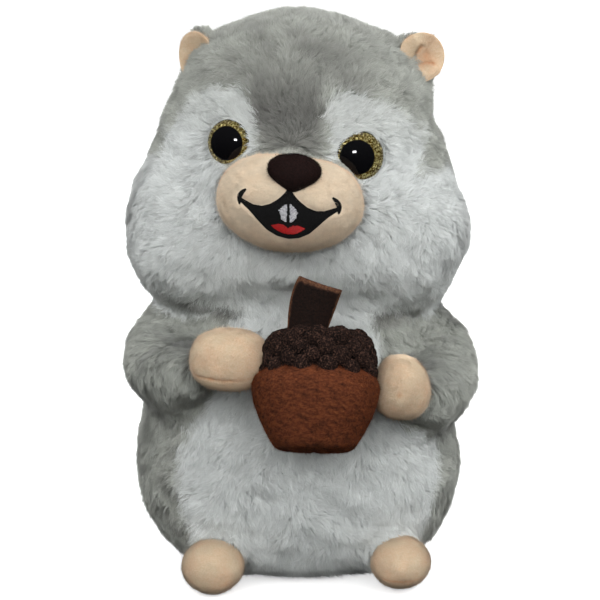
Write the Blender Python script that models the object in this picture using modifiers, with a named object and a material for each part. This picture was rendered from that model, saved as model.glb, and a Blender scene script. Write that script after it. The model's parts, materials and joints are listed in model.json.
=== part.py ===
"""A plush toy squirrel that sits up and holds a plush acorn, at its real size.

The outer surfaces of the furry pieces are where the tips of the pile end. Sizes and places are
given in millimetres in the toy's own frame, and the meshes are in metres. The toy looks along -Y,
and its left side is at +X. It stands on the floor at Z = 0, with its box centred on the origin.
"""

import math

import bmesh
import bpy
from mathutils import Matrix, Vector

MM = 0.001
GAP = 0.3  # clear space between pieces that touch
COLLECTION = "plush_squirrel"
CUTTERS = "cutters"
FURTHEST = 200.0  # no lobe reaches further than this from its piece's middle
HALVINGS = 26  # steps of the search for a lobed piece's surface

# Head: lobes are (centre, half sizes, squareness), where 2 is an ellipsoid
HEAD_CENTRE = (-1.0, 0.0, 168.0)
HEAD_LOBES = (
    ((0.7, 1.0, 182.5), (61.0, 54.0, 63.0), 2.2),
    ((-38.0, -5.0, 150.0), (37.0, 43.0, 37.0), 2.35),
    ((37.5, -5.0, 150.0), (37.0, 43.0, 37.0), 2.35),
    ((-0.5, -12.0, 146.0), (46.0, 40.0, 29.0), 2.0),
)
HEAD_CRISPNESS = 9.0

# Face: its pieces hang on a frame at the head's centre, which leans and turns a little
FACE_LEAN = math.radians(5.5)
FACE_TURN = math.radians(-3.0)
MUZZLE_CENTRE = (0.0, -55.0, -0.5)
MUZZLE_HALF = (30.5, 25.5, 21.0)
NOSE_CENTRE = (1.5, -76.5, 13.5)
NOSE_HALF = (11.0, 7.5, 8.0)
EYE_APART = 26.6  # from the middle of the face to the middle of an eye
EYE_PLACE = (-44.5, 18.6)  # along Y and Z
EYE_HALF = (10.8, 7.4, 11.0)
EYE_TURN = math.radians(18.0)

# Ears: cups on the upper corners of the head, one turned further out than the other
EAR_HALF = (14.0, 3.6, 16.0)
EAR_CUP = 5.0  # how far the rim comes forward
EAR_NARROWING = 0.18  # how much slimmer the foot of the ear is
LINING_HALF = (10.8, 2.0, 12.2)
LINING_FORWARD = 2.8
EAR_PLACES = {
    "left": ((47.5, 0.0, 219.5), math.radians(38.0), math.radians(18.0)),
    "right": ((-40.5, 2.0, 222.5), math.radians(-26.0), math.radians(-48.0)),
}

# Trunk: a pear with a flat seat
TRUNK_CENTRE = (-1.5, 0.0, 62.0)
TRUNK_LOBES = (
    ((-0.7, 0.0, 53.5), (71.3, 56.0, 58.0), 2.55),
    ((-1.0, 1.0, 106.0), (56.0, 45.0, 40.0), 2.2),
)
TRUNK_CRISPNESS = 10.0

# Arms: a bent roll from the shoulder round the elbow to the wrist, with its radii
ARM_LEFT_PATH = ((51.0, 6.0, 113.0), (73.5, -14.0, 70.0), (42.0, -64.0, 91.0))
ARM_RIGHT_PATH = ((-52.0, 6.0, 114.0), (-69.5, -16.0, 76.5), (-38.0, -66.0, 102.0))
ARM_RADIUS = 20.5
WRIST_SHARE = 0.80  # radius at the wrist against the shoulder's
ARM_FULLNESS = 0.55

HAND_LEFT = ((43.0, -70.0, 91.5), (12.4, 14.0, 14.2))
HAND_RIGHT = ((-30.5, -72.0, 103.5), (16.2, 12.5, 13.2))

# Feet: balls with a flat sole, in front of the seat
FOOT_HALF = (13.4, 16.5, 12.4)
FOOT_LIFT = 11.0
FEET = {"left": (42.5, -46.5), "right": (-36.5, -49.0)}

# Tail: a bushy roll behind the back, whose tip curls away
TAIL_PATH = (
    (-1.0, 42.0, 18.0),
    (-1.0, 118.0, 10.0),
    (-1.0, 62.0, 90.0),
    (-1.0, 64.0, 186.0),
    (-1.0, 124.0, 160.0),
)
TAIL_HALF_WIDTH = 34.5
TAIL_HALF_DEPTH = 24.0
TAIL_FULLNESS = 0.65
TAIL_END_SHARE = 1.1

# Acorn: a stuffed nut, a knobbly cap and a strap for a stem, on an axis that leans back
ACORN_PLACE = (6.2, -83.0, 85.5)
ACORN_LEAN = math.radians(18.0)
ACORN_TIP = math.radians(1.5)
NUT_WIDEST = 26.0
NUT_SEAT = 16.5
NUT_BELOW = 18.0
NUT_ABOVE = 16.0
NUT_CORNER = 8.0
NUT_CORNER_SHARE = 0.45  # how wide the rounded corner is against its height
NUT_SHOULDER = 2.0  # above the middle, where the nut is widest
CAP_RADIUS = 24.2
CAP_RISE = 22.0
CAP_BASE = 10.5  # above the middle of the nut
CAP_WALL = 0.33  # the smaller, the steeper the wall
CAP_ROWS = 3
CAP_KNOB = 1.1  # how far a row of knobs swells
STEM_WIDTH = 15.0
STEM_TOP_WIDTH = 19.5
STEM_LENGTH = 22.0
STEM_THICKNESS = 3.2
STEM_LEAN = 7.5  # how far the top has moved to the left side
STEM_BOW = 2.5
STEM_TOP_SLOPE = 0.20  # how steeply the top edge falls to the left side
STEM_FOOT = (-3.5, -2.0, CAP_BASE + CAP_RISE - 2.0)  # in the acorn's own frame

COLOURS = {
    "grey_plush": ((0.37, 0.38, 0.35), 0.95),
    "peach_velboa": ((0.78, 0.60, 0.44), 0.85),
    "nose_velour": ((0.030, 0.012, 0.010), 0.80),
    "eye_plastic": ((0.42, 0.31, 0.06), 0.10),
    "nut_velour": ((0.19, 0.055, 0.018), 0.80),
    "cap_chenille": ((0.028, 0.014, 0.011), 0.95),
    "stem_felt": ((0.060, 0.020, 0.008), 0.90),
}


def clear_scene():
    for thing in list(bpy.data.objects):
        bpy.data.objects.remove(thing, do_unlink=True)


def new_collection(name):
    collection = bpy.data.collections.new(name)
    bpy.context.scene.collection.children.link(collection)
    return collection


def make_material(name):
    colour, roughness = COLOURS[name]
    material = bpy.data.materials.new(name)
    material.use_nodes = True
    shader = material.node_tree.nodes["Principled BSDF"]
    shader.inputs["Base Color"].default_value = (*colour, 1.0)
    shader.inputs["Roughness"].default_value = roughness
    shader.inputs["Metallic"].default_value = 0.0
    return material


def millimetres(point):
    return Vector(point) * MM


def piece_from(bm, name, material, place=(0.0, 0.0, 0.0), turn=(0.0, 0.0, 0.0)):
    """Link a finished bmesh, which is in metres, as one smooth named piece.

    It is triangulated here so that a piece and the cutter grown from it have the same facets.
    """
    bmesh.ops.recalc_face_normals(bm, faces=bm.faces)
    bmesh.ops.triangulate(bm, faces=bm.faces)
    mesh = bpy.data.meshes.new(name)
    bm.to_mesh(mesh)
    bm.free()
    mesh.shade_smooth()
    piece = bpy.data.objects.new(name, mesh)
    piece.data.materials.append(MATERIALS[material])
    piece.location = millimetres(place)
    piece.rotation_euler = turn
    PARTS.objects.link(piece)
    piece.parent = TOY
    return piece


def unit_ball(around, up):
    bm = bmesh.new()
    bmesh.ops.create_uvsphere(bm, u_segments=around, v_segments=up, radius=1.0)
    return bm


def blended_depth(point, lobes, crispness):
    """Under 1 inside the softly joined lobes, and 1 on their skin."""
    total = 0.0
    for centre, half, squareness in lobes:
        away = sum(abs((p - c) / h) ** squareness for p, c, h in zip(point, centre, half))
        total += math.exp(-crispness * away ** (1.0 / squareness))
    return -math.log(max(total, 1e-30)) / crispness


def reach(origin, direction, lobes, crispness):
    """How far a ray from inside runs before it leaves the lobes."""
    near = 0.0
    far = FURTHEST
    for _ in range(HALVINGS):
        middle = 0.5 * (near + far)
        if blended_depth(origin + direction * middle, lobes, crispness) < 1.0:
            near = middle
        else:
            far = middle
    return near


def lobed_piece(name, material, centre, lobes, crispness, around, up):
    """A ball pushed out to the joined lobes, and pressed flat where it meets the floor."""
    origin = Vector(centre)
    bm = unit_ball(around, up)
    for vertex in bm.verts:
        direction = vertex.co.normalized()
        place = direction * reach(origin, direction, lobes, crispness)
        place.z = max(place.z, -origin.z)
        vertex.co = place * MM
    return piece_from(bm, name, material, centre)


def ellipsoid_piece(name, material, place, half, around, up, turn=(0.0, 0.0, 0.0), floor=None):
    """An ellipsoid, pressed flat at the height of the floor below its middle where one is given."""
    bm = unit_ball(around, up)
    for vertex in bm.verts:
        shaped = Vector(h * c for h, c in zip(half, vertex.co))
        if floor is not None:
            shaped.z = max(shaped.z, floor)
        vertex.co = shaped * MM
    return piece_from(bm, name, material, place, turn)


def bezier(points, share):
    """The point a share of the way along a Bezier curve of any degree."""
    row = [Vector(point) for point in points]
    while len(row) > 1:
        row = [a.lerp(b, share) for a, b in zip(row, row[1:])]
    return row[0]


def rolled_piece(name, material, path, size, fullness, end_share, rings, sides):
    """A roll with round ends along a flat curve; size is its radius across the curve's plane and in it."""
    half_width, half_depth = size
    step = 0.001
    start, end = bezier(path, 0.0), bezier(path, 1.0)
    flat_normal = (bezier(path, 0.5) - start).cross(end - start).normalized()
    bm = bmesh.new()
    tips = [bm.verts.new(start * MM), bm.verts.new(end * MM)]
    loops = []
    for ring in range(1, rings):
        angle = math.pi * ring / rings
        share = 0.5 - 0.5 * math.cos(angle)
        size = math.sin(angle) ** fullness * (1.0 + (end_share - 1.0) * share)
        along = bezier(path, min(share + step, 1.0)) - bezier(path, max(share - step, 0.0))
        inward = flat_normal.cross(along).normalized()
        loop = []
        for side in range(sides):
            turn = 2.0 * math.pi * side / sides
            offset = flat_normal * (half_width * math.cos(turn)) + inward * (half_depth * math.sin(turn))
            loop.append(bm.verts.new((bezier(path, share) + offset * size) * MM))
        loops.append(loop)
    for side in range(sides):
        after = (side + 1) % sides
        bm.faces.new((tips[0], loops[0][after], loops[0][side]))
        bm.faces.new((tips[1], loops[-1][side], loops[-1][after]))
        for lower, upper in zip(loops, loops[1:]):
            bm.faces.new((lower[side], lower[after], upper[after], upper[side]))
    return piece_from(bm, name, material)


def cup_piece(name, material, half, forward, place, turn):
    """A thin round cup whose rim comes forward, set on an ear's place."""
    bm = unit_ball(16, 8)
    for vertex in bm.verts:
        x, y, z = vertex.co
        narrowing = 1.0 - EAR_NARROWING * max(0.0, -z)
        rim = EAR_CUP * (x * x + z * z)
        vertex.co = Vector((half[0] * x * narrowing, half[1] * y - rim - forward, half[2] * z)) * MM
    return piece_from(bm, name, material, place, turn)


def turned_piece(name, material, profile, around, place, turn):
    """A profile of (radius, height) points spun round Z; both its ends lie on the axis."""
    bm = bmesh.new()
    last = None
    for radius, height in reversed(profile):
        vertex = bm.verts.new((radius * MM, 0.0, height * MM))
        if last is not None:
            bm.edges.new((last, vertex))
        last = vertex
    mesh = bpy.data.meshes.new(name)
    bm.to_mesh(mesh)
    bm.free()
    piece = bpy.data.objects.new(name, mesh)
    piece.location = millimetres(place)
    piece.rotation_euler = turn
    PARTS.objects.link(piece)
    piece.parent = TOY
    screw = piece.modifiers.new("turn", "SCREW")
    screw.axis = "Z"
    screw.angle = 2.0 * math.pi
    screw.steps = around
    screw.render_steps = around
    screw.use_merge_vertices = True
    screw.merge_threshold = 0.00002
    screw.use_smooth_shade = True
    piece.data.materials.append(MATERIALS[material])
    return piece


def nut_profile():
    """Flat seat, rounded corner, widest under the cap, and a shallow crown that the cap covers."""
    corner_radius = NUT_CORNER_SHARE * NUT_CORNER
    points = [(0.0, -NUT_BELOW), (NUT_SEAT - corner_radius, -NUT_BELOW)]
    for step in range(1, 4):
        angle = math.radians(30.0 * step)
        out = corner_radius * (2.0 * math.sin(angle) - 1.0)
        lift = NUT_CORNER * (1.0 - math.cos(angle))
        points.append((NUT_SEAT + out, -NUT_BELOW + lift))
    for step in range(0, 7):
        angle = math.radians(15.0 * step)
        height = NUT_SHOULDER + (NUT_ABOVE - NUT_SHOULDER) * math.sin(angle)
        points.append((NUT_WIDEST * math.cos(angle), height))
    points[-1] = (0.0, NUT_ABOVE)
    return points


def cap_profile():
    """A low dome, flat below, whose wall swells with each row of knobs."""
    points = [(0.0, CAP_BASE)]
    steps = 4 * CAP_ROWS
    for step in range(steps + 1):
        share = step / steps
        angle = 0.5 * math.pi * share
        radius = CAP_RADIUS * math.cos(angle) ** CAP_WALL
        height = CAP_BASE + CAP_RISE * math.sin(angle)
        swell = CAP_KNOB * abs(math.sin(math.pi * CAP_ROWS * share))
        points.append((radius + swell * math.cos(angle), height + swell * math.sin(angle)))
    points[-1] = (0.0, points[-1][1])
    return points


def make_stem(place, turn):
    """A flat strap that widens and leans over towards its top, a little bowed."""
    bm = bmesh.new()
    bmesh.ops.create_cube(bm, size=1.0)
    across = [edge for edge in bm.edges if abs((edge.verts[0].co - edge.verts[1].co).z) > 0.5]
    bmesh.ops.subdivide_edges(bm, edges=across, cuts=5, use_grid_fill=True)
    wide = [edge for edge in bm.edges if abs((edge.verts[0].co - edge.verts[1].co).x) > 0.5]
    bmesh.ops.subdivide_edges(bm, edges=wide, cuts=3, use_grid_fill=True)
    for vertex in bm.verts:
        x, y, z = vertex.co
        share = z + 0.5
        width = STEM_WIDTH + (STEM_TOP_WIDTH - STEM_WIDTH) * share * share
        lean = STEM_LEAN * share * share
        bow = STEM_BOW * (1.0 - 4.0 * x * x)
        top_slope = -STEM_TOP_SLOPE * x * width * share
        vertex.co = Vector((x * width + lean, y * STEM_THICKNESS - bow, share * STEM_LENGTH + top_slope))
        vertex.co *= MM
    return piece_from(bm, "acorn_stem", "stem_felt", place, turn)


def make_face():
    """Muzzle, nose and eyes, on a frame that leans and turns with the face."""
    face = bpy.data.objects.new("face_frame", None)
    PARTS.objects.link(face)
    face.parent = TOY
    face.location = millimetres(HEAD_CENTRE)
    face.rotation_euler = (0.0, FACE_LEAN, FACE_TURN)
    made = [
        ellipsoid_piece("muzzle", "peach_velboa", MUZZLE_CENTRE, MUZZLE_HALF, 22, 13),
        ellipsoid_piece("nose", "nose_velour", NOSE_CENTRE, NOSE_HALF, 16, 10),
    ]
    for side, sign in (("left", 1.0), ("right", -1.0)):
        place = (sign * EYE_APART, *EYE_PLACE)
        turn = (0.0, 0.0, sign * EYE_TURN)
        made.append(ellipsoid_piece(f"eye_{side}", "eye_plastic", place, EYE_HALF, 16, 8, turn))
    for piece in made:
        piece.parent = face
    return {piece.name: piece for piece in made}


def make_ears():
    made = {}
    for side, (place, lean, turn) in EAR_PLACES.items():
        angles = (0.0, lean, turn)
        made[f"ear_{side}"] = cup_piece(f"ear_{side}", "grey_plush", EAR_HALF, 0.0, place, angles)
        name = f"ear_lining_{side}"
        made[name] = cup_piece(name, "peach_velboa", LINING_HALF, LINING_FORWARD, place, angles)
    return made


def make_limbs():
    made = {}
    for side, path, hand in (("left", ARM_LEFT_PATH, HAND_LEFT), ("right", ARM_RIGHT_PATH, HAND_RIGHT)):
        arm = f"arm_{side}"
        size = (ARM_RADIUS, ARM_RADIUS)
        made[arm] = rolled_piece(arm, "grey_plush", path, size, ARM_FULLNESS, WRIST_SHARE, 12, 12)
        name = f"hand_{side}"
        made[name] = ellipsoid_piece(name, "peach_velboa", *hand, 16, 10)
        foot = f"foot_{side}"
        place = (*FEET[side], FOOT_LIFT)
        made[foot] = ellipsoid_piece(foot, "peach_velboa", place, FOOT_HALF, 16, 10, floor=-FOOT_LIFT)
    return made


def make_acorn():
    turn = (-ACORN_LEAN, ACORN_TIP, 0.0)
    made = {
        "acorn_nut": turned_piece("acorn_nut", "nut_velour", nut_profile(), 20, ACORN_PLACE, turn),
        "acorn_cap": turned_piece("acorn_cap", "cap_chenille", cap_profile(), 20, ACORN_PLACE, turn),
    }
    foot = Vector(ACORN_PLACE) + Matrix.Rotation(-ACORN_LEAN, 3, "X") @ Vector(STEM_FOOT)
    made["acorn_stem"] = make_stem(foot, (0.0, ACORN_TIP, 0.0))
    return made


def make_body():
    made = {
        "head": lobed_piece("head", "grey_plush", HEAD_CENTRE, HEAD_LOBES, HEAD_CRISPNESS, 28, 19),
        "trunk": lobed_piece("trunk", "grey_plush", TRUNK_CENTRE, TRUNK_LOBES, TRUNK_CRISPNESS, 24, 17),
    }
    size = (TAIL_HALF_WIDTH, TAIL_HALF_DEPTH)
    made["tail"] = rolled_piece("tail", "grey_plush", TAIL_PATH, size, TAIL_FULLNESS, TAIL_END_SHARE, 16, 14)
    return made


def clearance_cutters(pieces):
    """A copy of every plain piece, grown by the gap, for its neighbours to be cut with."""
    bpy.context.view_layer.update()
    depsgraph = bpy.context.evaluated_depsgraph_get()
    cutters = {}
    for name, piece in pieces.items():
        mesh = bpy.data.meshes.new_from_object(piece.evaluated_get(depsgraph))
        cutter = bpy.data.objects.new(f"cutter_{name}", mesh)
        cutter.parent = TOY
        cutter.matrix_basis = piece.matrix_world.copy()
        grow = cutter.modifiers.new("gap", "DISPLACE")
        grow.strength = GAP * MM
        grow.mid_level = 0.0
        cutter.hide_render = True
        cutter.display_type = "WIRE"
        CUTTER_COLLECTION.objects.link(cutter)
        cutters[name] = cutter
    return cutters


def part_pieces(pieces):
    """Cut each soft piece back to the harder or nearer pieces that press into it."""
    cutters = clearance_cutters(pieces)
    cuts = {
        "head": ["muzzle", "eye_left", "eye_right"],
        "trunk": ["head", "arm_left", "arm_right", "foot_left", "foot_right", "acorn_nut"],
        "tail": ["head", "trunk"],
        "muzzle": ["nose", "eye_left", "eye_right"],
        "acorn_nut": ["acorn_cap"],
        "acorn_cap": ["acorn_stem"],
    }
    for side in ("left", "right"):
        cuts[f"ear_{side}"] = ["head", f"ear_lining_{side}"]
        cuts[f"ear_lining_{side}"] = ["head"]
        cuts[f"arm_{side}"] = ["head", f"hand_{side}", "acorn_nut"]
        cuts[f"hand_{side}"] = ["acorn_nut", "acorn_cap"]
    for name, neighbours in cuts.items():
        for neighbour in neighbours:
            cut = pieces[name].modifiers.new(f"clear_of_{neighbour}", "BOOLEAN")
            cut.operation = "DIFFERENCE"
            cut.solver = "EXACT"
            cut.object = cutters[neighbour]


def centre_on_origin(pieces):
    """Slide the whole toy so that its box is centred over the origin."""
    bpy.context.view_layer.update()
    depsgraph = bpy.context.evaluated_depsgraph_get()
    points = []
    for piece in pieces.values():
        placed = piece.evaluated_get(depsgraph)
        points += [placed.matrix_world @ vertex.co for vertex in placed.data.vertices]
    for axis in (0, 1):
        values = [point[axis] for point in points]
        TOY.location[axis] = -0.5 * (min(values) + max(values))


clear_scene()
PARTS = new_collection(COLLECTION)
CUTTER_COLLECTION = new_collection(CUTTERS)
MATERIALS = {name: make_material(name) for name in COLOURS}
TOY = bpy.data.objects.new("toy_frame", None)
PARTS.objects.link(TOY)
PIECES = {**make_body(), **make_face(), **make_ears(), **make_limbs(), **make_acorn()}
part_pieces(PIECES)
centre_on_origin(PIECES)
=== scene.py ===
"""The looks of a plush toy squirrel that holds a plush acorn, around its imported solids.

Sizes in the plans below are millimetres in the toy's own frame. The toy looks along -Y and its
left side is at +X. The pile is real geometry: thin blades in tufts over one sewn skin.
"""

import json
import math
from types import SimpleNamespace

import bmesh
import bpy
import numpy as np
from mathutils import Euler, Matrix, Vector, kdtree, noise
from mathutils.bvhtree import BVHTree

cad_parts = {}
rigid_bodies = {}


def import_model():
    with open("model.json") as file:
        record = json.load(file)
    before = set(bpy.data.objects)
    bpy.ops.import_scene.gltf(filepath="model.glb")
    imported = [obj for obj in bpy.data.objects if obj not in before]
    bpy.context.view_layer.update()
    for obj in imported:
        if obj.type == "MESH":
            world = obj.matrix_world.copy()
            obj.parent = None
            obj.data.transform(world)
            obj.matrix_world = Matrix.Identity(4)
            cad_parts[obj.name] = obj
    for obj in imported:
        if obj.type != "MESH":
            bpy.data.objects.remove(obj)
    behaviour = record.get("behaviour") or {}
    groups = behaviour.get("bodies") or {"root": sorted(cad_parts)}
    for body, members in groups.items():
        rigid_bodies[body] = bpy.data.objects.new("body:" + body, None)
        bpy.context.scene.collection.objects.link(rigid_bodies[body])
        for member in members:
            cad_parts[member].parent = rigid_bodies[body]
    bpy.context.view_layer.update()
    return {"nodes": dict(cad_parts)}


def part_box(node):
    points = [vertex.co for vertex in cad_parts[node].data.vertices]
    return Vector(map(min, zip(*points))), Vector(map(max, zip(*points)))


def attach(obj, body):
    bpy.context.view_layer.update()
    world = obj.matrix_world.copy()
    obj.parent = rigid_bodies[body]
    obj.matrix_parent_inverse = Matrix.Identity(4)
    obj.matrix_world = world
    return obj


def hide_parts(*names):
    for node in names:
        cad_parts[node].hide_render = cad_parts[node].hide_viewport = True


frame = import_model()

MM = 0.001
BODY = "root"
SIDES = (("left", 1.0), ("right", -1.0))
COAT_SEED, NAP_SEED = 20, 21
LOWEST_HAIR = 0.3 * MM  # above the table

# View: a long lens in front of the toy, a little above it
VIEW_TARGET = (-0.0008, 0.0, 0.1163)
VIEW_AWAY = 1.0
VIEW_DROP = math.radians(9.0)
VIEW_WIDTH = 0.264
SENSOR_WIDTH = 36.0

# Face frame and what hangs on it
FACE_LEAN = math.radians(5.5)
FACE_TURN = math.radians(-3.0)
FACE_PLAN = (-1.0, 0.0, 168.0)
NOSE_PLACE = (1.5, -76.5, 13.5)
NOSE_HALF = (10.6, 7.5, 7.3)
MUZZLE_PLACE = (0.0, -55.0, -0.5)
MUZZLE_HALF = (29.6, 25.5, 20.3)
NAP_MIDDLE = (1.0, -78.0, 8.0)  # the face's short pile is brushed away from here
# Each eye: its middle, its halves, its black disc's radius and shift on a map whose rim is at 0.5,
# and how much of it the pile leaves free
EYES = {
    "left": ((26.2, -44.5, 19.4), (10.3, 6.4, 10.5), 0.345, -0.105, 1.0),
    "right": ((-27.6, -44.5, 19.7), (9.5, 6.2, 9.7), 0.368, 0.02, 0.98),
}
EYE_TURN = math.radians(18.0)

# Each ear: its place, lean and turn, and its lining's shift and halves
EARS = {
    "left": ((49.5, -4.0, 221.5), (38.0, 18.0), (-0.6, 0.0, 1.7), (10.6, 2.0, 11.2)),
    "right": ((-39.5, -3.0, 222.0), (-26.0, -44.0), (1.0, 0.0, 0.8), (10.4, 2.0, 11.8)),
}
LINING_FORWARD = 2.8
EAR_CUP = 5.0
EAR_NARROWING = 0.18

# Hands: place, halves, how square they are and the seed of their lumps
HANDS = {
    "left": ((41.4, -70.5, 93.0), (11.5, 13.6, 13.2), 0.93, 41),
    "right": ((-28.4, -72.5, 104.6), (16.2, 12.6, 12.3), 0.84, 42),
}
# Feet: place, halves and the seeds of their seam and their lumps
FEET = {
    "left": ((42.5, -46.5, 13.0), (12.5, 15.8, 10.7), 17, 43),
    "right": ((-36.5, -49.0, 12.0), (13.1, 16.0, 11.2), 18, 44),
}
TAIL_PATH = ((-1.0, 42.0, 18.0), (-1.0, 118.0, 10.0), (-1.0, 62.0, 90.0), (-1.0, 64.0, 186.0),
             (-1.0, 124.0, 160.0))

# Acorn
ACORN_PLACE = (6.2, -83.0, 85.5)
ACORN_LEAN = math.radians(18.0)
ACORN_TIP = math.radians(1.5)
NUT_WIDEST = 25.8
NUT_BELOW = 15.5
NUT_ABOVE = 18.5
NUT_SHOULDER = 8.0
NUT_SEAT = 12.9
NUT_CORNER = 5.0
NUT_SEAMS = tuple(math.radians(-90.0 + 90.0 * k) for k in range(4))
CAP_RADIUS = 23.7
CAP_SHIFT = 1.2
CAP_RISE = 18.0
CAP_BASE = 14.5
KNOB_SIZE, KNOB_SUNK = 4.0, 2.5
KNOB_WOOL = 1.8
# Rows of knobs: how far up the cap each is, and how many it has
KNOB_ROWS = ((0.064, 12), (0.220, 12), (0.392, 12), (0.585, 12), (0.798, 11), (0.93, 7), (0.995, 3))
STEM_WIDTH = 15.4
STEM_LEAN = 4.1
STEM_FLARE = 6.3
STEM_LENGTH = 24.3
STEM_SHORT = 18.8
STEM_THICKNESS = 3.0
STEM_BOW = 2.5
STEM_FOOT = (-3.5, -2.0, CAP_BASE + CAP_RISE - 2.0)

# Mouth, on the face's own frame from its peak: across and up
MOUTH_PEAK = (0.3, 6.7)
MOUTH_SKEW = -0.07
UPPER_LIP = ((0.0, 0.0), (1.4, -2.0), (2.8, -3.5), (4.4, -4.9), (7.2, -6.8), (10.6, -8.0),
             (14.2, -7.9), (19.4, -6.2))
LOWER_LIP = ((19.4, -6.6), (15.4, -9.3), (13.2, -11.3), (11.0, -13.6), (8.0, -16.5),
             (4.2, -18.5), (0.0, -19.2))
TOOTH = ((0.6, -5.4), (2.4, -6.9), (3.6, -8.3), (3.3, -10.0), (2.6, -11.6), (1.8, -12.4), (0.7, -12.6))
TONGUE = ((0.0, -15.3), (1.0, -14.5), (2.0, -14.0), (4.0, -13.8), (6.7, -14.8), (5.6, -15.8),
          (3.8, -16.8), (2.0, -17.5), (0.0, -17.7))
TICK = ((17.3, -1.9), (18.8, -3.2), (19.9, -4.9), (20.1, -6.4), (19.8, -8.2))
THREAD_RADIUS = 0.19 * MM

# Coat of each node: how deep the skin lies under it, the pile's length and tufts on a square mm
COAT = {
    "head": (3.2, 6.6, 1.25), "trunk": (3.5, 7.2, 1.0), "tail": (6.0, 10.0, 0.5),
    "arm_left": (3.6, 6.6, 1.35), "arm_right": (3.6, 6.6, 1.35),
    "ear_left": (1.2, 4.6, 3.0), "ear_right": (1.2, 4.6, 3.0),
}
SKIN_FILLERS = (
    "muzzle", "eye_left", "eye_right", "hand_left", "hand_right", "foot_left", "foot_right",
    "ear_lining_left", "ear_lining_right",
)
# How strongly the tips gather into locks on the arms and tail, and elsewhere
SHAGGY_PULL, PLAIN_PULL = 0.55, 0.34
FILLER_DEPTH = 4.0
FILLER_LENGTH = 8.0
SKIN_VOXEL = 2.3 * MM
SKIN_SWELL = 0.35 * MM
SKIN_FLOOR = 1.2 * MM
BLADES_PER_TUFT = 5
BLADE_WIDTH, EAR_BLADE_WIDTH = 0.25 * MM, 0.20 * MM
LOCK_SPACING = 2.8 * MM
PATCH = 0.003  # a tuft's patch on the skin's map
# Where the stuffed body draws in: place, reach and depth
SLIMMED = (
    ((70.0, 0.0, 171.0), (16.0, 60.0, 15.0), 3.4),
    ((68.0, -5.0, 131.0), (16.0, 60.0, 10.0), 3.2),
    ((-73.0, -10.0, 72.0), (12.0, 50.0, 9.0), 2.6),
    ((76.0, -10.0, 68.0), (12.0, 50.0, 10.0), 3.6),
    ((0.0, -58.0, 119.0), (45.0, 30.0, 9.0), 4.0),
    ((30.0, 0.0, 243.0), (18.0, 40.0, 10.0), 2.4),
    ((64.0, 0.0, 224.0), (8.0, 30.0, 8.0), 2.4),
    ((-55.0, 0.0, 222.0), (8.0, 30.0, 13.0), 2.4),
    ((-30.0, 0.0, 242.0), (16.0, 40.0, 9.0), 1.2),
    ((60.0, 0.0, 199.0), (12.0, 40.0, 7.0), 3.0),
    ((80.0, -20.0, 87.0), (12.0, 50.0, 10.0), 1.2),
    ((-8.0, 0.0, 246.0), (30.0, 50.0, 8.0), 1.2),
)
# Painted shade in the creases between the cheeks and the arms: its lines, across and up in the plan
ARM_FOLD_SHADE_LINES = (((-60.0, 122.5), (-28.0, 116.5)), ((33.0, 114.0), (57.0, 117.5)))
ARM_FOLD_SHADE_WIDTH = 3.6
NODE_NUMBER = {name: number for number, name in enumerate(sorted(frame["nodes"]))}


def placed(point):
    """A point of the plan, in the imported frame."""
    return Vector(point) * MM + TOY_SHIFT


def in_face(point):
    return FACE_CENTRE + FACE_TURNED @ (Vector(point) * MM)


def in_acorn(point):
    return placed(ACORN_PLACE) + ACORN_TURNED @ (Vector(point) * MM)


NOSE_LOW, NOSE_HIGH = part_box("nose")
FACE_TURNED = Euler((0.0, FACE_LEAN, FACE_TURN)).to_matrix()
FACE_CENTRE = (NOSE_LOW + NOSE_HIGH) * 0.5 - FACE_TURNED @ (Vector(NOSE_PLACE) * MM)
TOY_SHIFT = FACE_CENTRE - Vector(FACE_PLAN) * MM
TOY_SHIFT.z = 0.0
ACORN_TURNED = Euler((-ACORN_LEAN, ACORN_TIP, 0.0)).to_matrix()


def in_plan(points):
    """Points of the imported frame, in the plan's millimetres."""
    return (points - np.array(TOY_SHIFT)) / MM


def face_coordinates(points):
    """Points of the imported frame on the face's own frame, in millimetres."""
    return (points - np.array(FACE_CENTRE)) @ np.array(FACE_TURNED) / MM


def on(nodes, *names):
    """Which of the node numbers are those of the named nodes."""
    return np.isin(nodes, [NODE_NUMBER[name] for name in names])


def smooth_step(low, high, values):
    share = np.clip((values - low) / (high - low), 0.0, 1.0)
    return share * share * (3.0 - 2.0 * share)


def hump(*pairs):
    """A soft hump, 1 in its middle, from distances and the widths that they are measured by."""
    return np.exp(-sum((values / width) ** 2 for values, width in pairs))


def unit_rows(rows):
    return rows / np.maximum(np.linalg.norm(rows, axis=1, keepdims=True), 1e-12)


def flattened(ways, normals):
    """The ways without their share along the normals."""
    return ways - normals * (ways * normals).sum(axis=1)[:, None]


def turned_about(ways, normals, angle):
    return ways * np.cos(angle) + np.cross(normals, ways) * np.sin(angle)


def wander(points, scale, seed):
    """Smooth noise from -1 to 1 that changes over about scale metres."""
    rng = np.random.default_rng(seed)
    waves = rng.normal(size=(9, 3)) * (2.2 / scale)
    starts = rng.uniform(0.0, 2.0 * math.pi, 9)
    return np.sin(points @ waves.T + starts).sum(axis=1) / 4.2


def near_line(x, z, start, end, width):
    """A soft mask, 1 on a straight line and fading over width beside it."""
    start, along = np.array(start), np.array(end) - np.array(start)
    beside = np.stack([x, z], axis=1) - start
    share = np.clip(beside @ along / (along @ along), 0.0, 1.0)
    return hump((np.linalg.norm(beside - share[:, None] * along, axis=1), width))


# ---------------------------------------------------------------- meshes


def link(thing):
    bpy.context.scene.collection.objects.link(thing)
    return thing


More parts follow.
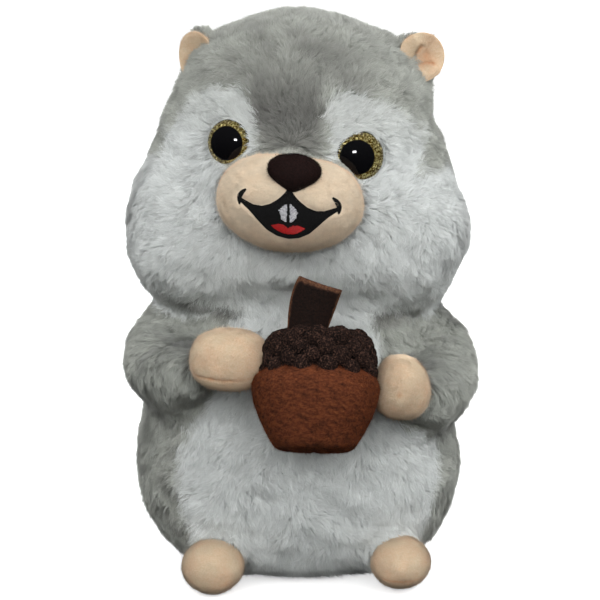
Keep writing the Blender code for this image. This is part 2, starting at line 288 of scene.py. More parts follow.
def mesh_from_arrays(name, points, triangles):
    mesh = bpy.data.meshes.new(name)
    mesh.vertices.add(len(points))
    mesh.vertices.foreach_set("co", np.ascontiguousarray(points, np.float32).ravel())
    mesh.loops.add(triangles.size)
    mesh.loops.foreach_set("vertex_index", np.ascontiguousarray(triangles, np.int32).ravel())
    mesh.polygons.add(len(triangles))
    mesh.polygons.foreach_set("loop_start", np.arange(0, triangles.size, 3, dtype=np.int32))
    mesh.update(calc_edges=True)
    return mesh


def link_piece(name, mesh, material):
    piece = link(bpy.data.objects.new(name, mesh))
    mesh.materials.clear()
    mesh.materials.append(MATERIALS[material])
    return piece


def set_attribute(mesh, name, values):
    """Write a number, vector or colour for each point."""
    values = np.asarray(values, np.float32)
    width = values.shape[1] if values.ndim > 1 else 1
    kinds = {1: ("FLOAT", "value"), 3: ("FLOAT_VECTOR", "vector"), 4: ("FLOAT_COLOR", "color")}
    kind, field = kinds[width]
    mesh.attributes.new(name, kind, "POINT").data.foreach_set(field, values.ravel())


def write_map(mesh, flat):
    flat = np.clip(flat, 0.0, 1.0).astype(np.float32)
    mesh.uv_layers.new(name="OFBake").uv.foreach_set("vector", flat.ravel())


def points_of(mesh):
    points = np.zeros(len(mesh.vertices) * 3, np.float32)
    mesh.vertices.foreach_get("co", points)
    return points.reshape(-1, 3).astype(float)


def triangles_of(mesh):
    mesh.calc_loop_triangles()
    triangles = np.zeros(len(mesh.loop_triangles) * 3, np.int32)
    mesh.loop_triangles.foreach_get("vertices", triangles)
    return triangles.reshape(-1, 3)


def point_normals(points, triangles):
    a, b, c = (points[triangles[:, k]] for k in range(3))
    sloped = np.cross(b - a, c - a)
    total = np.zeros_like(points)
    for corner in range(3):
        for axis in range(3):
            total[:, axis] += np.bincount(
                triangles[:, corner], weights=sloped[:, axis], minlength=len(points))
    return unit_rows(total)


def edges_of(triangles):
    pairs = np.concatenate([triangles[:, [0, 1]], triangles[:, [1, 2]], triangles[:, [2, 0]]])
    return np.unique(np.sort(pairs, axis=1), axis=0)


def evened(values, edges, rounds, share=0.5):
    """Average each point's value with its neighbours', again and again."""
    values = np.array(values, float)
    flat = values.reshape(len(values), -1)
    count = np.maximum(np.bincount(edges.ravel(), minlength=len(flat)), 1.0)
    for _ in range(rounds):
        total = np.zeros_like(flat)
        for column in range(flat.shape[1]):
            for here, there in ((0, 1), (1, 0)):
                total[:, column] += np.bincount(
                    edges[:, here], weights=flat[edges[:, there], column], minlength=len(flat))
        flat = flat * (1.0 - share) + share * total / count[:, None]
    return flat.reshape(values.shape)


def search_tree(meshes):
    """One search tree over several meshes, and how many triangles each has."""
    points, triangles, counts = [], [], []
    for mesh in meshes:
        found = triangles_of(mesh) + len(points)
        triangles += found.tolist()
        points += points_of(mesh).tolist()
        counts.append(len(found))
    return BVHTree.FromPolygons(points, triangles), counts


def evaluated_mesh(piece):
    bpy.context.view_layer.update()
    return bpy.data.meshes.new_from_object(piece.evaluated_get(bpy.context.evaluated_depsgraph_get()))


def remeshed_union(names):
    """One closed mesh around the named nodes, each swollen a little so that they join."""
    gathered = bmesh.new()
    for name in names:
        part = bmesh.new()
        part.from_mesh(frame["nodes"][name].data)
        bmesh.ops.remove_doubles(part, verts=part.verts, dist=0.00001)
        part.normal_update()
        for vertex in part.verts:
            vertex.co += vertex.normal * SKIN_SWELL
        mesh = bpy.data.meshes.new("part")
        part.to_mesh(mesh)
        part.free()
        gathered.from_mesh(mesh)
        bpy.data.meshes.remove(mesh)
    mesh = bpy.data.meshes.new("union")
    gathered.to_mesh(mesh)
    gathered.free()
    piece = link(bpy.data.objects.new("union", mesh))
    remesh = piece.modifiers.new("remesh", "REMESH")
    remesh.mode = "VOXEL"
    remesh.voxel_size = SKIN_VOXEL
    result = evaluated_mesh(piece)
    bpy.data.objects.remove(piece)
    return result


def largest_island(points, triangles):
    """Only the biggest connected shell of a mesh."""
    edges = edges_of(triangles)
    label = np.arange(len(points))
    before = None
    while not np.array_equal(before, label):
        before = label.copy()
        low = np.minimum(label[edges[:, 0]], label[edges[:, 1]])
        np.minimum.at(label, edges[:, 0], low)
        np.minimum.at(label, edges[:, 1], low)
        label = label[label]
    kept = label == np.bincount(label).argmax()
    order = np.cumsum(kept) - 1
    return points[kept], order[triangles[kept[triangles[:, 0]]]]


def mesh_of(bm, name):
    bmesh.ops.recalc_face_normals(bm, faces=bm.faces)
    mesh = bpy.data.meshes.new(name)
    bm.to_mesh(mesh)
    bm.free()
    mesh.shade_smooth()
    return mesh


def ball(subdivisions=6):
    bm = bmesh.new()
    bmesh.ops.create_icosphere(bm, subdivisions=subdivisions, radius=1.0)
    return bm, np.array([v.co for v in bm.verts])


def ball_piece(name, bm, points, at, material, seam=None):
    """A ball's mesh with its points moved, and a mask of its sewn seams, which on some pieces also
    carries painted shade.
    """
    for vertex, point in zip(bm.verts, points):
        vertex.co = at(point)
    piece = link_piece(name, mesh_of(bm, name), material)
    if seam is not None:
        set_attribute(piece.data, "seam", seam)
    return piece


def new_ring(bm, count, at):
    return [bm.verts.new(at(2 * math.pi * k / count)) for k in range(count)]


def close_rings(bm, rings, bottom, top, split=False):
    """Faces between rings that are given from the bottom up, with a fan at each pole."""
    bottom, top = bm.verts.new(in_acorn(bottom)), bm.verts.new(in_acorn(top))
    for k in range(len(rings[0])):
        after = (k + 1) % len(rings[0])
        bm.faces.new((bottom, rings[0][after], rings[0][k]))
        bm.faces.new((top, rings[-1][k], rings[-1][after]))
        for low, high in zip(rings, rings[1:]):
            if split:
                bm.faces.new((low[k], low[after], high[after]))
                bm.faces.new((low[k], high[after], high[k]))
            else:
                bm.faces.new((low[k], low[after], high[after], high[k]))


# ---------------------------------------------------------------- node trees


class Tree:
    """A short way to write node trees."""

    def __init__(self, tree):
        self.nodes, self.links = tree.nodes, tree.links

    def feed(self, socket, value):
        if isinstance(value, bpy.types.NodeSocket):
            self.links.new(value, socket)
        elif value is not None:
            socket.default_value = value

    def add(self, kind, sockets=None, **settings):
        """A node with its settings made, and its sockets fed by label or number."""
        node = self.nodes.new(kind)
        for key, value in settings.items():
            setattr(node, key, value)
        for label, value in (sockets or {}).items():
            self.feed(node.inputs[label], value)
        return node

    def get(self, kind, sockets=None, output=0, **settings):
        return self.add(kind, sockets, **settings).outputs[output]

    def math(self, operation, *values):
        return self.get("ShaderNodeMath", dict(enumerate(values)), operation=operation)

    def vector(self, operation, first, second=None, scale=None, output=0):
        sockets = {0: first, 1: second, 3: scale}
        return self.get("ShaderNodeVectorMath", sockets, output, operation=operation)

    def mix(self, share, first, second):
        return self.get("ShaderNodeMix", {0: share, 6: first, 7: second}, 2, data_type="RGBA")

    def ranged(self, value, low, high, new_low=0.0, new_high=1.0):
        sockets = {0: value, 1: low, 2: high, 3: new_low, 4: new_high}
        return self.get("ShaderNodeMapRange", sockets, clamp=True)

    def mark(self, name):
        return self.get("ShaderNodeAttribute", output="Fac", attribute_name=name)

    def group(self, group, **sockets):
        return self.add("ShaderNodeGroup", sockets, node_tree=group).outputs

    def grain(self, scale, patches, place=None):
        if place is None:
            place = self.get("ShaderNodeTexCoord", output="Object")
        return self.group(GRAIN, Vector=place, Scale=scale, Patches=patches)


def new_group(name, kind, inputs, outputs):
    """A node group with named sockets, each given by its type and its default."""
    group = bpy.data.node_groups.new(name, kind)
    for way, sockets in (("INPUT", inputs), ("OUTPUT", outputs)):
        for label, (holds, default) in sockets.items():
            socket = group.interface.new_socket(label, in_out=way, socket_type="NodeSocket" + holds)
            if default is not None:
                socket.default_value = default
    tree = Tree(group)
    return group, tree, tree.add("NodeGroupInput").outputs, tree.add("NodeGroupOutput").inputs


def apply_tree(piece, group, **values):
    """Run a geometry tree with its named inputs set, and keep the plain mesh."""
    modifier = piece.modifiers.new(group.name, "NODES")
    modifier.node_group = group
    for item in group.interface.items_tree:
        key = item.name.replace(" ", "_")
        if item.item_type == "SOCKET" and item.in_out == "INPUT" and key in values:
            modifier[item.identifier] = values[key]
    mesh = evaluated_mesh(piece)
    piece.modifiers.clear()
    piece.data = mesh
    return piece


# ---------------------------------------------------------------- materials


def colour(red, green, blue):
    """Linear colour from the eight-bit values of a dyed swatch."""
    def linear(value):
        value /= 255.0
        return value / 12.92 if value <= 0.04045 else ((value + 0.055) / 1.055) ** 2.4
    return (linear(red), linear(green), linear(blue), 1.0)


# Long pile: its colour at the root and at the tip
GREY = (colour(122, 123, 118), colour(172, 175, 167))
STRIPE = (colour(76, 76, 73), colour(114, 114, 110))
WHITE = (colour(190, 193, 191), colour(208, 212, 210))
# Velboa: its plain dye and its deeper blotches, then its light hairs, and the deeper orange of its
# seams, also used as painted shade in folds and hollows
PEACH = (colour(199, 178, 149), colour(208, 164, 130))
MUZZLE_PEACH = (colour(203, 187, 164), colour(207, 180, 150))
PEACH_PALE = colour(222, 207, 184)
PEACH_SEAM_AND_SHADE = colour(206, 146, 104)
EYE_BLACK = (0.0025, 0.0025, 0.003, 1.0)
PURE_WHITE = (1.0, 1.0, 1.0, 1.0)


def plush_tone_group():
    """Colour of the long pile from its marking, the place along a blade and the tuft's tint."""
    group, tree, given, made = new_group(
        "plush_tone", "ShaderNodeTree",
        {"White": ("Float", 0.0), "Along": ("Float", 1.0), "Tint": ("Float", 0.5),
         "Stripe": ("Float", 0.0)},
        {"Color": ("Color", None)})
    along = tree.ranged(given["Along"], 0.0, 0.85)
    grey, stripe, white = (tree.mix(along, root, tip) for root, tip in (GREY, STRIPE, WHITE))
    pile = tree.mix(given["White"], tree.mix(given["Stripe"], grey, stripe), white)
    bright = tree.ranged(given["Tint"], 0.0, 1.0, 0.80, 1.20)
    tree.feed(made["Color"], tree.vector("SCALE", pile, scale=bright))
    return group


def grain_group():
    """Fine cloth grain and broad blotches, each a mask from noise."""
    group, tree, given, made = new_group(
        "cloth_grain", "ShaderNodeTree",
        {"Vector": ("Vector", None), "Scale": ("Float", 900.0), "Patches": ("Float", 60.0)},
        {"Grain": ("Float", None), "Blotch": ("Float", None)})
    for label, scale, detail, low, high in (("Grain", "Scale", 2.0, 0.3, 0.7),
                                            ("Blotch", "Patches", 3.0, 0.35, 0.68)):
        sockets = {"Vector": given["Vector"], "Scale": given[scale], "Detail": detail}
        tree.feed(made[label], tree.ranged(tree.get("ShaderNodeTexNoise", sockets), low, high))
    return group


def new_material(name, roughness, specular, **plain):
    """A material whose even values sit on the shader's own sockets."""
    material = bpy.data.materials.new(name)
    material.use_nodes = True
    tree = Tree(material.node_tree)
    shader = tree.nodes["Principled BSDF"].inputs
    plain.update(Roughness=roughness, Specular_IOR_Level=specular)
    for label, value in plain.items():
        shader[label.replace("_", " ")].default_value = value
    return material, tree, shader


def bump(tree, shader, height, distance, strength=1.0):
    sockets = {"Strength": strength, "Distance": distance, "Height": height}
    tree.feed(shader["Normal"], tree.get("ShaderNodeBump", sockets))


def face_outward(tree, shader):
    """Light a thin hair by the way its cloth faces, from whichever side it is seen."""
    facing = tree.add("ShaderNodeNewGeometry").outputs
    turned = tree.math("MULTIPLY_ADD", facing["Backfacing"], -2.0, 1.0)
    tree.feed(shader["Normal"], tree.vector("SCALE", facing["Normal"], scale=turned))


def dye_hairs(tree, shader, dye, share, least):
    """Colour that is brighter where the hair attribute is high."""
    bright = tree.math("MULTIPLY_ADD", tree.mark("hair"), share, least)
    tree.feed(shader["Base Color"], tree.vector("SCALE", dye, scale=bright))


def plush_material(name, roughness, specular, backing=False, **plain):
    """The long pile, or the backing that it is sewn to, with the coat's markings."""
    material, tree, shader = new_material(name, roughness, specular, **plain)
    coat = tree.add("ShaderNodeAttribute", attribute_name="coat").outputs
    white, along, tint = tree.add("ShaderNodeSeparateColor", {0: coat["Color"]}).outputs
    if backing:
        along, tint = 0.6, tree.grain(1500.0, 120.0)["Grain"]
        bump(tree, shader, tint, 0.0006)
    else:
        face_outward(tree, shader)
    tone = tree.group(PLUSH_TONE, White=white, Along=along, Tint=tint, Stripe=coat["Alpha"])
    tree.feed(shader["Base Color"], tone["Color"])
    return material


def velboa_material(name, dyes, hairs=False):
    """Short peach pile: powdery, with faint deeper blotches and a deeper orange along its seams, also
    painted as shade in folds and hollows.
    """
    material, tree, shader = new_material(name, 0.95, 0.1, Sheen_Weight=0.35, Sheen_Roughness=0.5,
                                          Sheen_Tint=(1.0, 0.82, 0.64, 1.0))
    grain = tree.grain(1500.0, 120.0)
    base = tree.mix(tree.math("MULTIPLY", grain["Blotch"], 0.55), *dyes)
    light = tree.mix(tree.math("MULTIPLY", grain["Grain"], 0.35), base, PEACH_PALE)
    patchy = tree.math("MULTIPLY_ADD", grain["Blotch"], 0.7, 0.3)
    # The seam mask carries real seams and painted shade alike
    broken = tree.math("MULTIPLY", tree.mark("seam"), patchy)
    dye_hairs(tree, shader, tree.mix(broken, light, PEACH_SEAM_AND_SHADE), 0.15, 1.0)
    if hairs:
        face_outward(tree, shader)
    else:
        bump(tree, shader, grain["Grain"], 0.0003, 0.6)
    return material


def nut_material(name, hairs=False):
    """Brown velour whose short pile catches the light in fine broken rows."""
    material, tree, shader = new_material(name, 0.85, 0.15)
    place = tree.get("ShaderNodeTexCoord", output="Object")
    stretched = tree.get("ShaderNodeMapping", {"Vector": place, "Scale": (0.5, 1.0, 1.0)})
    rows = tree.grain(1500.0, 420.0, stretched)
    base = tree.mix(tree.grain(700.0, 55.0, place)["Blotch"], colour(72, 33, 17), colour(98, 50, 28))
    dark = tree.mix(tree.math("MULTIPLY", rows["Blotch"], 0.6), base, colour(46, 20, 10))
    pile = tree.mix(tree.math("MULTIPLY", rows["Grain"], 0.6), dark, colour(138, 76, 42))
    dye_hairs(tree, shader, pile, 1.0, 0.9)
    if hairs:
        face_outward(tree, shader)
    else:
        bump(tree, shader, rows["Grain"], 0.0004, 0.8)
    return material


def cap_material():
    """Dark chenille with pale specks: partly paler ends of yarn, partly painted glints on the chenille.
    """
    material, tree, shader = new_material("cap_chenille", 0.95, 0.1)
    grain = tree.grain(1300.0, 260.0)
    base = tree.mix(grain["Blotch"], colour(13, 7, 6), colour(30, 19, 16))
    # Pale specks: partly the yarn's own paler ends, partly painted glints
    ends = tree.math("POWER", grain["Grain"], 3.0)
    tree.feed(shader["Base Color"], tree.mix(ends, base, colour(86, 62, 52)))
    bump(tree, shader, grain["Grain"], 0.0009)
    return material


def stem_material():
    """Dark suede with a paler edge: partly the raw edge's own colour, partly a painted highlight along
    the fold's upward-facing top.
    """
    material, tree, shader = new_material("stem_felt", 0.85, 0.15)
    grain = tree.grain(1400.0, 200.0)["Grain"]
    face = tree.mix(grain, colour(12, 5, 3), colour(27, 13, 7))
    rim = tree.mix(grain, colour(54, 32, 22), colour(104, 70, 50))
    tree.feed(shader["Base Color"], tree.mix(tree.mark("edge"), face, rim))
    bump(tree, shader, grain, 0.0003, 0.8)
    return material


def two_tone_material(name, finish, grain, dyes, relief):
    """A plain dyed cloth or thread that goes from dark to light with its grain."""
    material, tree, shader = new_material(name, *finish)
    height = tree.grain(*grain)["Grain"]
    tree.feed(shader["Base Color"], tree.mix(height, *dyes))
    bump(tree, shader, height, *relief)
    return material


def thread_material(name, dark, light, roughness=0.5):
    return two_tone_material(name, (roughness, 0.3), (2500.0, 400.0), (dark, light), (0.0001, 0.5))


def eye_material():
    """A clear dome over gold glitter foil, with a black disc in the middle."""
    material, tree, shader = new_material("glitter_eye", 0.3, 0.1, Coat_Roughness=0.02, Coat_IOR=1.4,
                                          Coat_Weight=0.6)
    place = tree.get("ShaderNodeUVMap", uv_map="dome")
    centred = tree.vector("SUBTRACT", place, (0.5, 0.5, 0.0))
    away = tree.vector("LENGTH", centred, output="Value")
    flakes = tree.get("ShaderNodeTexVoronoi", {"Vector": place, "Scale": 36.0}, "Color", feature="F1")
    flash = tree.add("ShaderNodeSeparateColor", {0: flakes}).outputs
    gold = tree.mix(tree.math("POWER", flash[0], 2.2), colour(74, 54, 12), colour(255, 242, 165))
    olive = tree.mix(tree.ranged(flash[1], 0.5, 1.3), gold, colour(140, 114, 40))
    disc = tree.get("ShaderNodeUVMap", uv_map="disc")
    disc_away = tree.vector("DISTANCE", disc, (0.5, 0.5, 0.0), output="Value")
    pupil = tree.ranged(disc_away, 0.352, 0.368, 1.0, 0.0)
    dark = tree.math("MAXIMUM", pupil, tree.ranged(away, 0.472, 0.486))
    tree.feed(shader["Base Color"], tree.mix(dark, olive, EYE_BLACK))
    tree.feed(shader["Metallic"], tree.math("MULTIPLY", tree.math("SUBTRACT", 1.0, dark), 0.75))
    tree.feed(shader["Roughness"], tree.ranged(dark, 0.0, 1.0, 0.32, 0.08))
    tilt = tree.vector("SUBTRACT", flakes, (0.5, 0.5, 0.5))
    tilted = tree.vector("SCALE", tilt, scale=tree.ranged(dark, 0.0, 1.0, 0.7, 0.0))
    summed = tree.vector("ADD", tree.get("ShaderNodeNewGeometry", output="Normal"), tilted)
    tree.feed(shader["Normal"], tree.vector("NORMALIZE", summed))
    return material


def floor_material():
    """A pale tabletop that gives back a little light of its own."""
    material, tree, shader = new_material("pale_floor", 0.9, 0.0, Emission_Color=PURE_WHITE,
                                          Emission_Strength=0.55)
    blotch = tree.grain(300.0, 3.0)["Blotch"]
    tree.feed(shader["Base Color"], tree.mix(blotch, (0.93, 0.93, 0.93, 1.0), (0.95, 0.95, 0.95, 1.0)))
    return material


PLUSH_TONE = plush_tone_group()
GRAIN = grain_group()
MATERIALS = {
    "pile": plush_material("long_pile", 0.95, 0.1, Sheen_Weight=0.2, Sheen_Roughness=0.5),
    "skin": plush_material("plush_backing", 1.0, 0.05, backing=True),
    "velboa": velboa_material("peach_velboa", PEACH),
    "velboa_hair": velboa_material("peach_velboa_hair", PEACH, hairs=True),
    "muzzle": velboa_material("muzzle_velboa", MUZZLE_PEACH),
    "muzzle_hair": velboa_material("muzzle_velboa_hair", MUZZLE_PEACH, hairs=True),
    "nose": two_tone_material("nose_velour", (0.85, 0.15), (1500.0, 160.0),
                              (colour(17, 7, 6), colour(34, 16, 13)), (0.0003, 0.7)),
    "nut": nut_material("nut_velour"),
    "nut_hair": nut_material("nut_velour_hair", hairs=True),
    "cap": cap_material(),
    "stem": stem_material(),
    "eye": eye_material(),
    "floor": floor_material(),
    "black_thread": thread_material("black_thread", colour(2, 2, 2), colour(9, 9, 10), 0.95),
    "white_thread": thread_material("white_thread", colour(150, 150, 156), colour(225, 225, 228)),
    "red_thread": thread_material("red_thread", colour(120, 6, 8), colour(196, 20, 20)),
}


# ---------------------------------------------------------------- markings


def head_margins(points):
    """How far a point of the head is inside the white and inside the forehead's stripe, in mm."""
    across, back, up = face_coordinates(points).T
    ragged = 1.4 * wander(points, 0.006, 5) + 2.0 * wander(points, 0.016, 6)
    ragged += 3.0 * wander(points, 0.022, 10) * smooth_step(-14.0, 4.0, back)
    far = (np.abs((across + 1.5) / 55.0) ** 3.2 + np.abs(up / 45.5) ** 3.2) ** (1.0 / 3.2)
    half = np.interp(up, (12.0, 24.0, 35.0, 45.0), (13.5, 14.2, 15.5, 18.4))
    stripe = half - np.abs(across + 0.22 * (up - 12.0))
    face = np.minimum(50.0 * (1.0 - far), -stripe)
    cheeks = 12.0 + 0.055 * across - up - 0.7 * np.maximum(back + 6.0, 0.0)
    cheeks = np.minimum(cheeks, 18.0 - ((up + 18.0) / np.where(up > -18.0, 6.5, 13.0)) ** 2 - back)
    white = np.maximum(cheeks, np.minimum(face, 19.0 - back))
    return white + ragged, np.minimum(np.minimum(stripe, 70.0 - up), up - 10.0) + ragged


def belly_margin(points):
    """How far a point of the trunk is inside the white belly patch, in millimetres."""
    across, back, up = in_plan(points).T
    across = across + 0.95
    ragged = 1.6 * wander(points, 0.006, 7) + 1.8 * wander(points, 0.018, 8)
    centre = 3.6 + 4.3 * smooth_step(50.0, 110.0, up)
    below = np.clip((50.0 - up) / 56.0, 0.0, 1.0)
    half = 54.0 * (1.0 - below ** 2.5) ** 0.4
    half = np.where(up > 50.0, 54.0 - 18.0 * smooth_step(50.0, 112.0, up), half)
    half = half - 11.0 * smooth_step(80.0, 95.0, up) * (across > centre)
    edge = -6.0 - back + 3.0 * wander(points, 0.020, 11)
    return np.minimum(half - np.abs(across - centre), edge) + ragged


def markings(points, node):
    """White share and dark share at points whose node is known by its number, with painted shade over
    the face's top and underside, in the cheek-arm creases and along the belly patch's edge.
    """
    head_white, head_stripe = head_margins(points)
    belly = belly_margin(points)
    on_head, on_trunk = on(node, "head"), on(node, "trunk")
    margin = np.where(on_head, head_white, np.where(on_trunk, belly, -9.0))
    across, back, up = face_coordinates(points).T
    # Painted shade: the white is greyed over the top of the face and under the low cheeks
    painted_face_shade = 0.30 * smooth_step(18.0, 34.0, up) + 0.12 * smooth_step(-22.0, -42.0, up)
    white = smooth_step(-1.8, 1.8, margin) * (1.0 - painted_face_shade * on_head)
    brow = 0.5 * np.exp(-(((across + 3.0) / 36.0) ** 4)) * smooth_step(34.0, 46.0, up)
    brow *= smooth_step(84.0, 56.0, up) * (1.0 + 0.8 * wander(points, 0.010, 12))
    stripe = smooth_step(-5.0, 5.0, head_stripe) * (0.35 + 0.65 * smooth_step(10.0, 32.0, up))
    stripe *= smooth_step(68.0, 36.0, up)
    forehead = np.maximum(stripe, brow) * smooth_step(18.0, -10.0, back)
    # Painted shade: a darker grey band along the belly patch's edge, heavier on the toy's right side
    belly_edge_shade = 0.4 * hump((belly + 4.0, 3.5)) * (0.7 + 0.6 * wander(points, 0.009, 13)) * on_trunk
    belly_edge_shade *= 0.3 + 0.7 * smooth_step(20.0, -20.0, across)
    # Painted shade: dark pile along the creases between the cheeks and the arms, on the front only
    plan = in_plan(points)
    fold = np.max([near_line(plan[:, 0], plan[:, 2], start, end, ARM_FOLD_SHADE_WIDTH)
                   for start, end in ARM_FOLD_SHADE_LINES], axis=0)
    fold *= smooth_step(-14.0, -30.0, plan[:, 1])
    return white * (1.0 - 0.9 * fold), np.maximum(np.where(on_head, forehead, belly_edge_shade), 0.95 * fold)


# ---------------------------------------------------------------- skin


def grow_skin():
    """The sewn backing, drawn in from the nodes by the depth of the pile."""
    names = tuple(COAT) + SKIN_FILLERS
    union = remeshed_union(names)
    points, triangles = largest_island(points_of(union), triangles_of(union))
    edges = edges_of(triangles)
    points = evened(points, edges, 2)
    tree, counts = search_tree([frame["nodes"][name].data for name in names])
    owner = np.repeat([NODE_NUMBER[name] for name in names], counts)
    node = np.array([owner[tree.find_nearest(Vector(p))[2]] for p in points])
    depth = np.full(len(points), FILLER_DEPTH)
    for name, (under, _, _) in COAT.items():
        depth[on(node, name)] = under
    across, back, up = face_coordinates(points).T
    near_face = hump((across, 34.0), (up - 6.0, 30.0)) * (back < 0)
    depth = np.where(on(node, "head"), depth * (1.0 - 0.38 * near_face), depth)
    slimmed = np.zeros(len(points))
    for place, reach, amount in SLIMMED:
        away = (((in_plan(points) - np.array(place)) / np.array(reach)) ** 2).sum(axis=1)
        slimmed += amount * np.exp(-away) * MM
    depth = evened(depth, edges, 10) * MM + slimmed
    outer = points.copy()
    steps = 8
    for _ in range(steps):
        points = points - point_normals(points, triangles) * (depth / steps)[:, None]
        points = evened(points, edges, 1, 0.35)
    points[:, 2] = np.maximum(points[:, 2], SKIN_FLOOR)
    return SimpleNamespace(
        points=points, triangles=triangles, edges=edges, node=node,
        normals=unit_rows(evened(point_normals(points, triangles), edges, 3)),
        height=evened(np.linalg.norm(outer - points, axis=1) - slimmed, edges, 4),
        tree=BVHTree.FromPolygons(points.tolist(), triangles.tolist()))


def bezier(points, share):
    row = [Vector(point) for point in points]
    while len(row) > 1:
        row = [a.lerp(b, share) for a, b in zip(row, row[1:])]
    return row[0]


def lie_of_pile(skin):
    """Which way the pile lies at each point of the skin, as a unit vector along it."""
    points, node = skin.points, skin.node
    down = np.array((0.0, 0.0, -1.0))
    lie = np.tile(down, (len(points), 1))

    head = on(node, "head")
    face = face_coordinates(points)
    bridge = np.array((1.0, -70.0, 6.0))
    radial = unit_rows(face - bridge) @ np.array(FACE_TURNED).T
    low, behind = smooth_step(10.0, -25.0, face[:, 2]), smooth_step(-10.0, 35.0, face[:, 1])
    pull = 0.25 + 0.6 * low + 1.6 * behind
    lie[head] = (radial + down * pull[:, None])[head]

    trunk = on(node, "trunk")
    lie[trunk, 0] = in_plan(points)[trunk, 0] * 0.012

    for side, sign in SIDES:
        lie[on(node, f"arm_{side}")] = (sign * 0.35, -0.45, -0.75)
        ear = on(node, f"ear_{side}")
        lie[ear] = points[ear] - (np.array(placed(EARS[side][0])) - np.array((0.0, 0.0, 0.02)))

    tail = on(node, "tail")
    path = np.array([placed(bezier(TAIL_PATH, s)) for s in np.linspace(0.0, 1.0, 81)])
    found = np.argmin(((points[tail][:, None, :] - path[None]) ** 2).sum(axis=2), axis=1)
    outward = points[tail] - path[found]
    lie[tail] = unit_rows(np.gradient(path, axis=0)[found]) + unit_rows(outward) * 0.25

    lie = unit_rows(lie)
    for _ in range(6):
        lie = unit_rows(flattened(evened(lie, skin.edges, 2), skin.normals))
    angle = 0.6 * wander(points, 0.022, 31) + 0.7 * wander(points, 0.008, 32)
    return unit_rows(turned_about(lie, skin.normals, angle[:, None]))


def unwrap(piece):
    """A flat map of the piece's own shape, in parts that barely stretch."""
    for other in bpy.context.view_layer.objects:
        other.select_set(False)
    bpy.context.view_layer.objects.active = piece
    piece.select_set(True)
    bpy.ops.object.mode_set(mode="EDIT")
    bpy.ops.mesh.select_all(action="SELECT")
    bpy.ops.uv.smart_project(angle_limit=math.radians(66.0), island_margin=0.003)
    bpy.ops.object.mode_set(mode="OBJECT")
    piece.select_set(False)
    layer = piece.data.uv_layers.active
    layer.name = "OFBake"
    flat = np.zeros(len(piece.data.loops) * 2, np.float32)
    layer.uv.foreach_get("vector", flat)
    return flat.reshape(-1, 3, 2).astype(float)


def dress_skin(skin):
    mesh = mesh_from_arrays("skin", skin.points, skin.triangles)
    mesh.shade_smooth()
    white, dark = markings(skin.points, skin.node)
    set_attribute(mesh, "coat", np.stack([white, 0.0 * white, 0.0 * white + 0.5, dark], axis=1))
    piece = link_piece("skin", mesh, "skin")
    skin.flat = unwrap(piece)
    return piece


# ---------------------------------------------------------------- pile


def sample_roots(skin, density, rng):
    """Even random points over the skin, thicker where density (tufts on a square mm) is higher."""
    a, b, c = (skin.points[skin.triangles[:, k]] for k in range(3))
    area = 0.5 * np.linalg.norm(np.cross(b - a, c - a), axis=1) / (MM * MM)
    ends = np.cumsum(area * density[skin.triangles].mean(axis=1))
    count = int(ends[-1])
    marks = (np.arange(count) + rng.uniform(0.0, 1.0, count)) * (ends[-1] / count)
    triangle = np.minimum(np.searchsorted(ends, marks), len(ends) - 1)
    r, s = rng.uniform(size=(2, count))
    over = r + s > 1.0
    r[over], s[over] = 1.0 - r[over], 1.0 - s[over]
    return triangle, np.stack([1.0 - r - s, r, s], axis=1)


def at_roots(skin, values, triangle, weights):
    weights = weights.reshape(len(weights), 3, *([1] * (values.ndim - 1)))
    return (values[skin.triangles[triangle]] * weights).sum(axis=1)


def inside_of(tree, points, margin):
    """Which points lie inside a closed piece, or nearer to it than margin."""
    result = np.zeros(len(points), bool)
    for index, point in enumerate(points):
        place, normal, _, _ = tree.find_nearest(Vector(point), 0.03)
        if place is not None:
            result[index] = (Vector(point) - place).dot(normal) < margin
    return result


def undulation(points):
    """Soft rise and fall of the pile's surface, in shares of its height, and the slope of it."""
    rng = np.random.default_rng(77)
    wave = np.zeros(len(points))
    slope = np.zeros_like(points)
    for scale in (0.0052, 0.0085, 0.014):
        for _ in range(14):
            along = rng.normal(size=3)
            along *= 2.0 * math.pi / scale / np.linalg.norm(along) / 1.6
            turn = points @ along + rng.uniform(0.0, 2.0 * math.pi)
            wave += np.sin(turn) * 0.12 / 4.6
            slope += np.cos(turn)[:, None] * along[None] * 0.12 / 4.6
    return wave, slope


def tuft_fields(skin, triangle, weights, rng):
    """Roots, tips and the rest of what each tuft needs."""
    found = SimpleNamespace()
    found.root, found.normal, lie, found.height, length = (
        at_roots(skin, values, triangle, weights)
        for values in (skin.points, skin.normals, skin.lie, skin.height, skin.length))
    found.normal = unit_rows(found.normal)
    found.node = skin.node[skin.triangles[triangle, weights.argmax(axis=1)]]
    found.ear = on(found.node, "ear_left", "ear_right")
    inward = np.maximum(0.0, 1.0 - np.abs(np.abs(found.root[:, 0]) - 0.043) / 0.010)
    found.height = np.where(found.ear, (2.4 + 2.6 * inward) * MM, found.height)
    found.flat = (skin.flat[triangle] * weights[:, :, None]).sum(axis=1)
    count = len(triangle)
    lie = unit_rows(flattened(lie, found.normal))
    lie = turned_about(lie, found.normal, rng.normal(0.0, 0.45, count)[:, None])
    wave, slope = undulation(found.root)
    found.slope = slope * found.height[:, None]
    lift = found.height * (rng.uniform(0.84, 0.96, count) + wave)
    reach = length * rng.uniform(0.88, 1.12, count)
    along = np.sqrt(np.maximum(reach ** 2 - lift ** 2, (0.3 * reach) ** 2))
    found.tip = found.root + lie * along[:, None]
    for index, point in enumerate(found.tip):
        place, normal, _, _ = skin.tree.find_nearest(Vector(point))
        found.tip[index] = np.array(place) + np.array(normal) * lift[index]
    return found


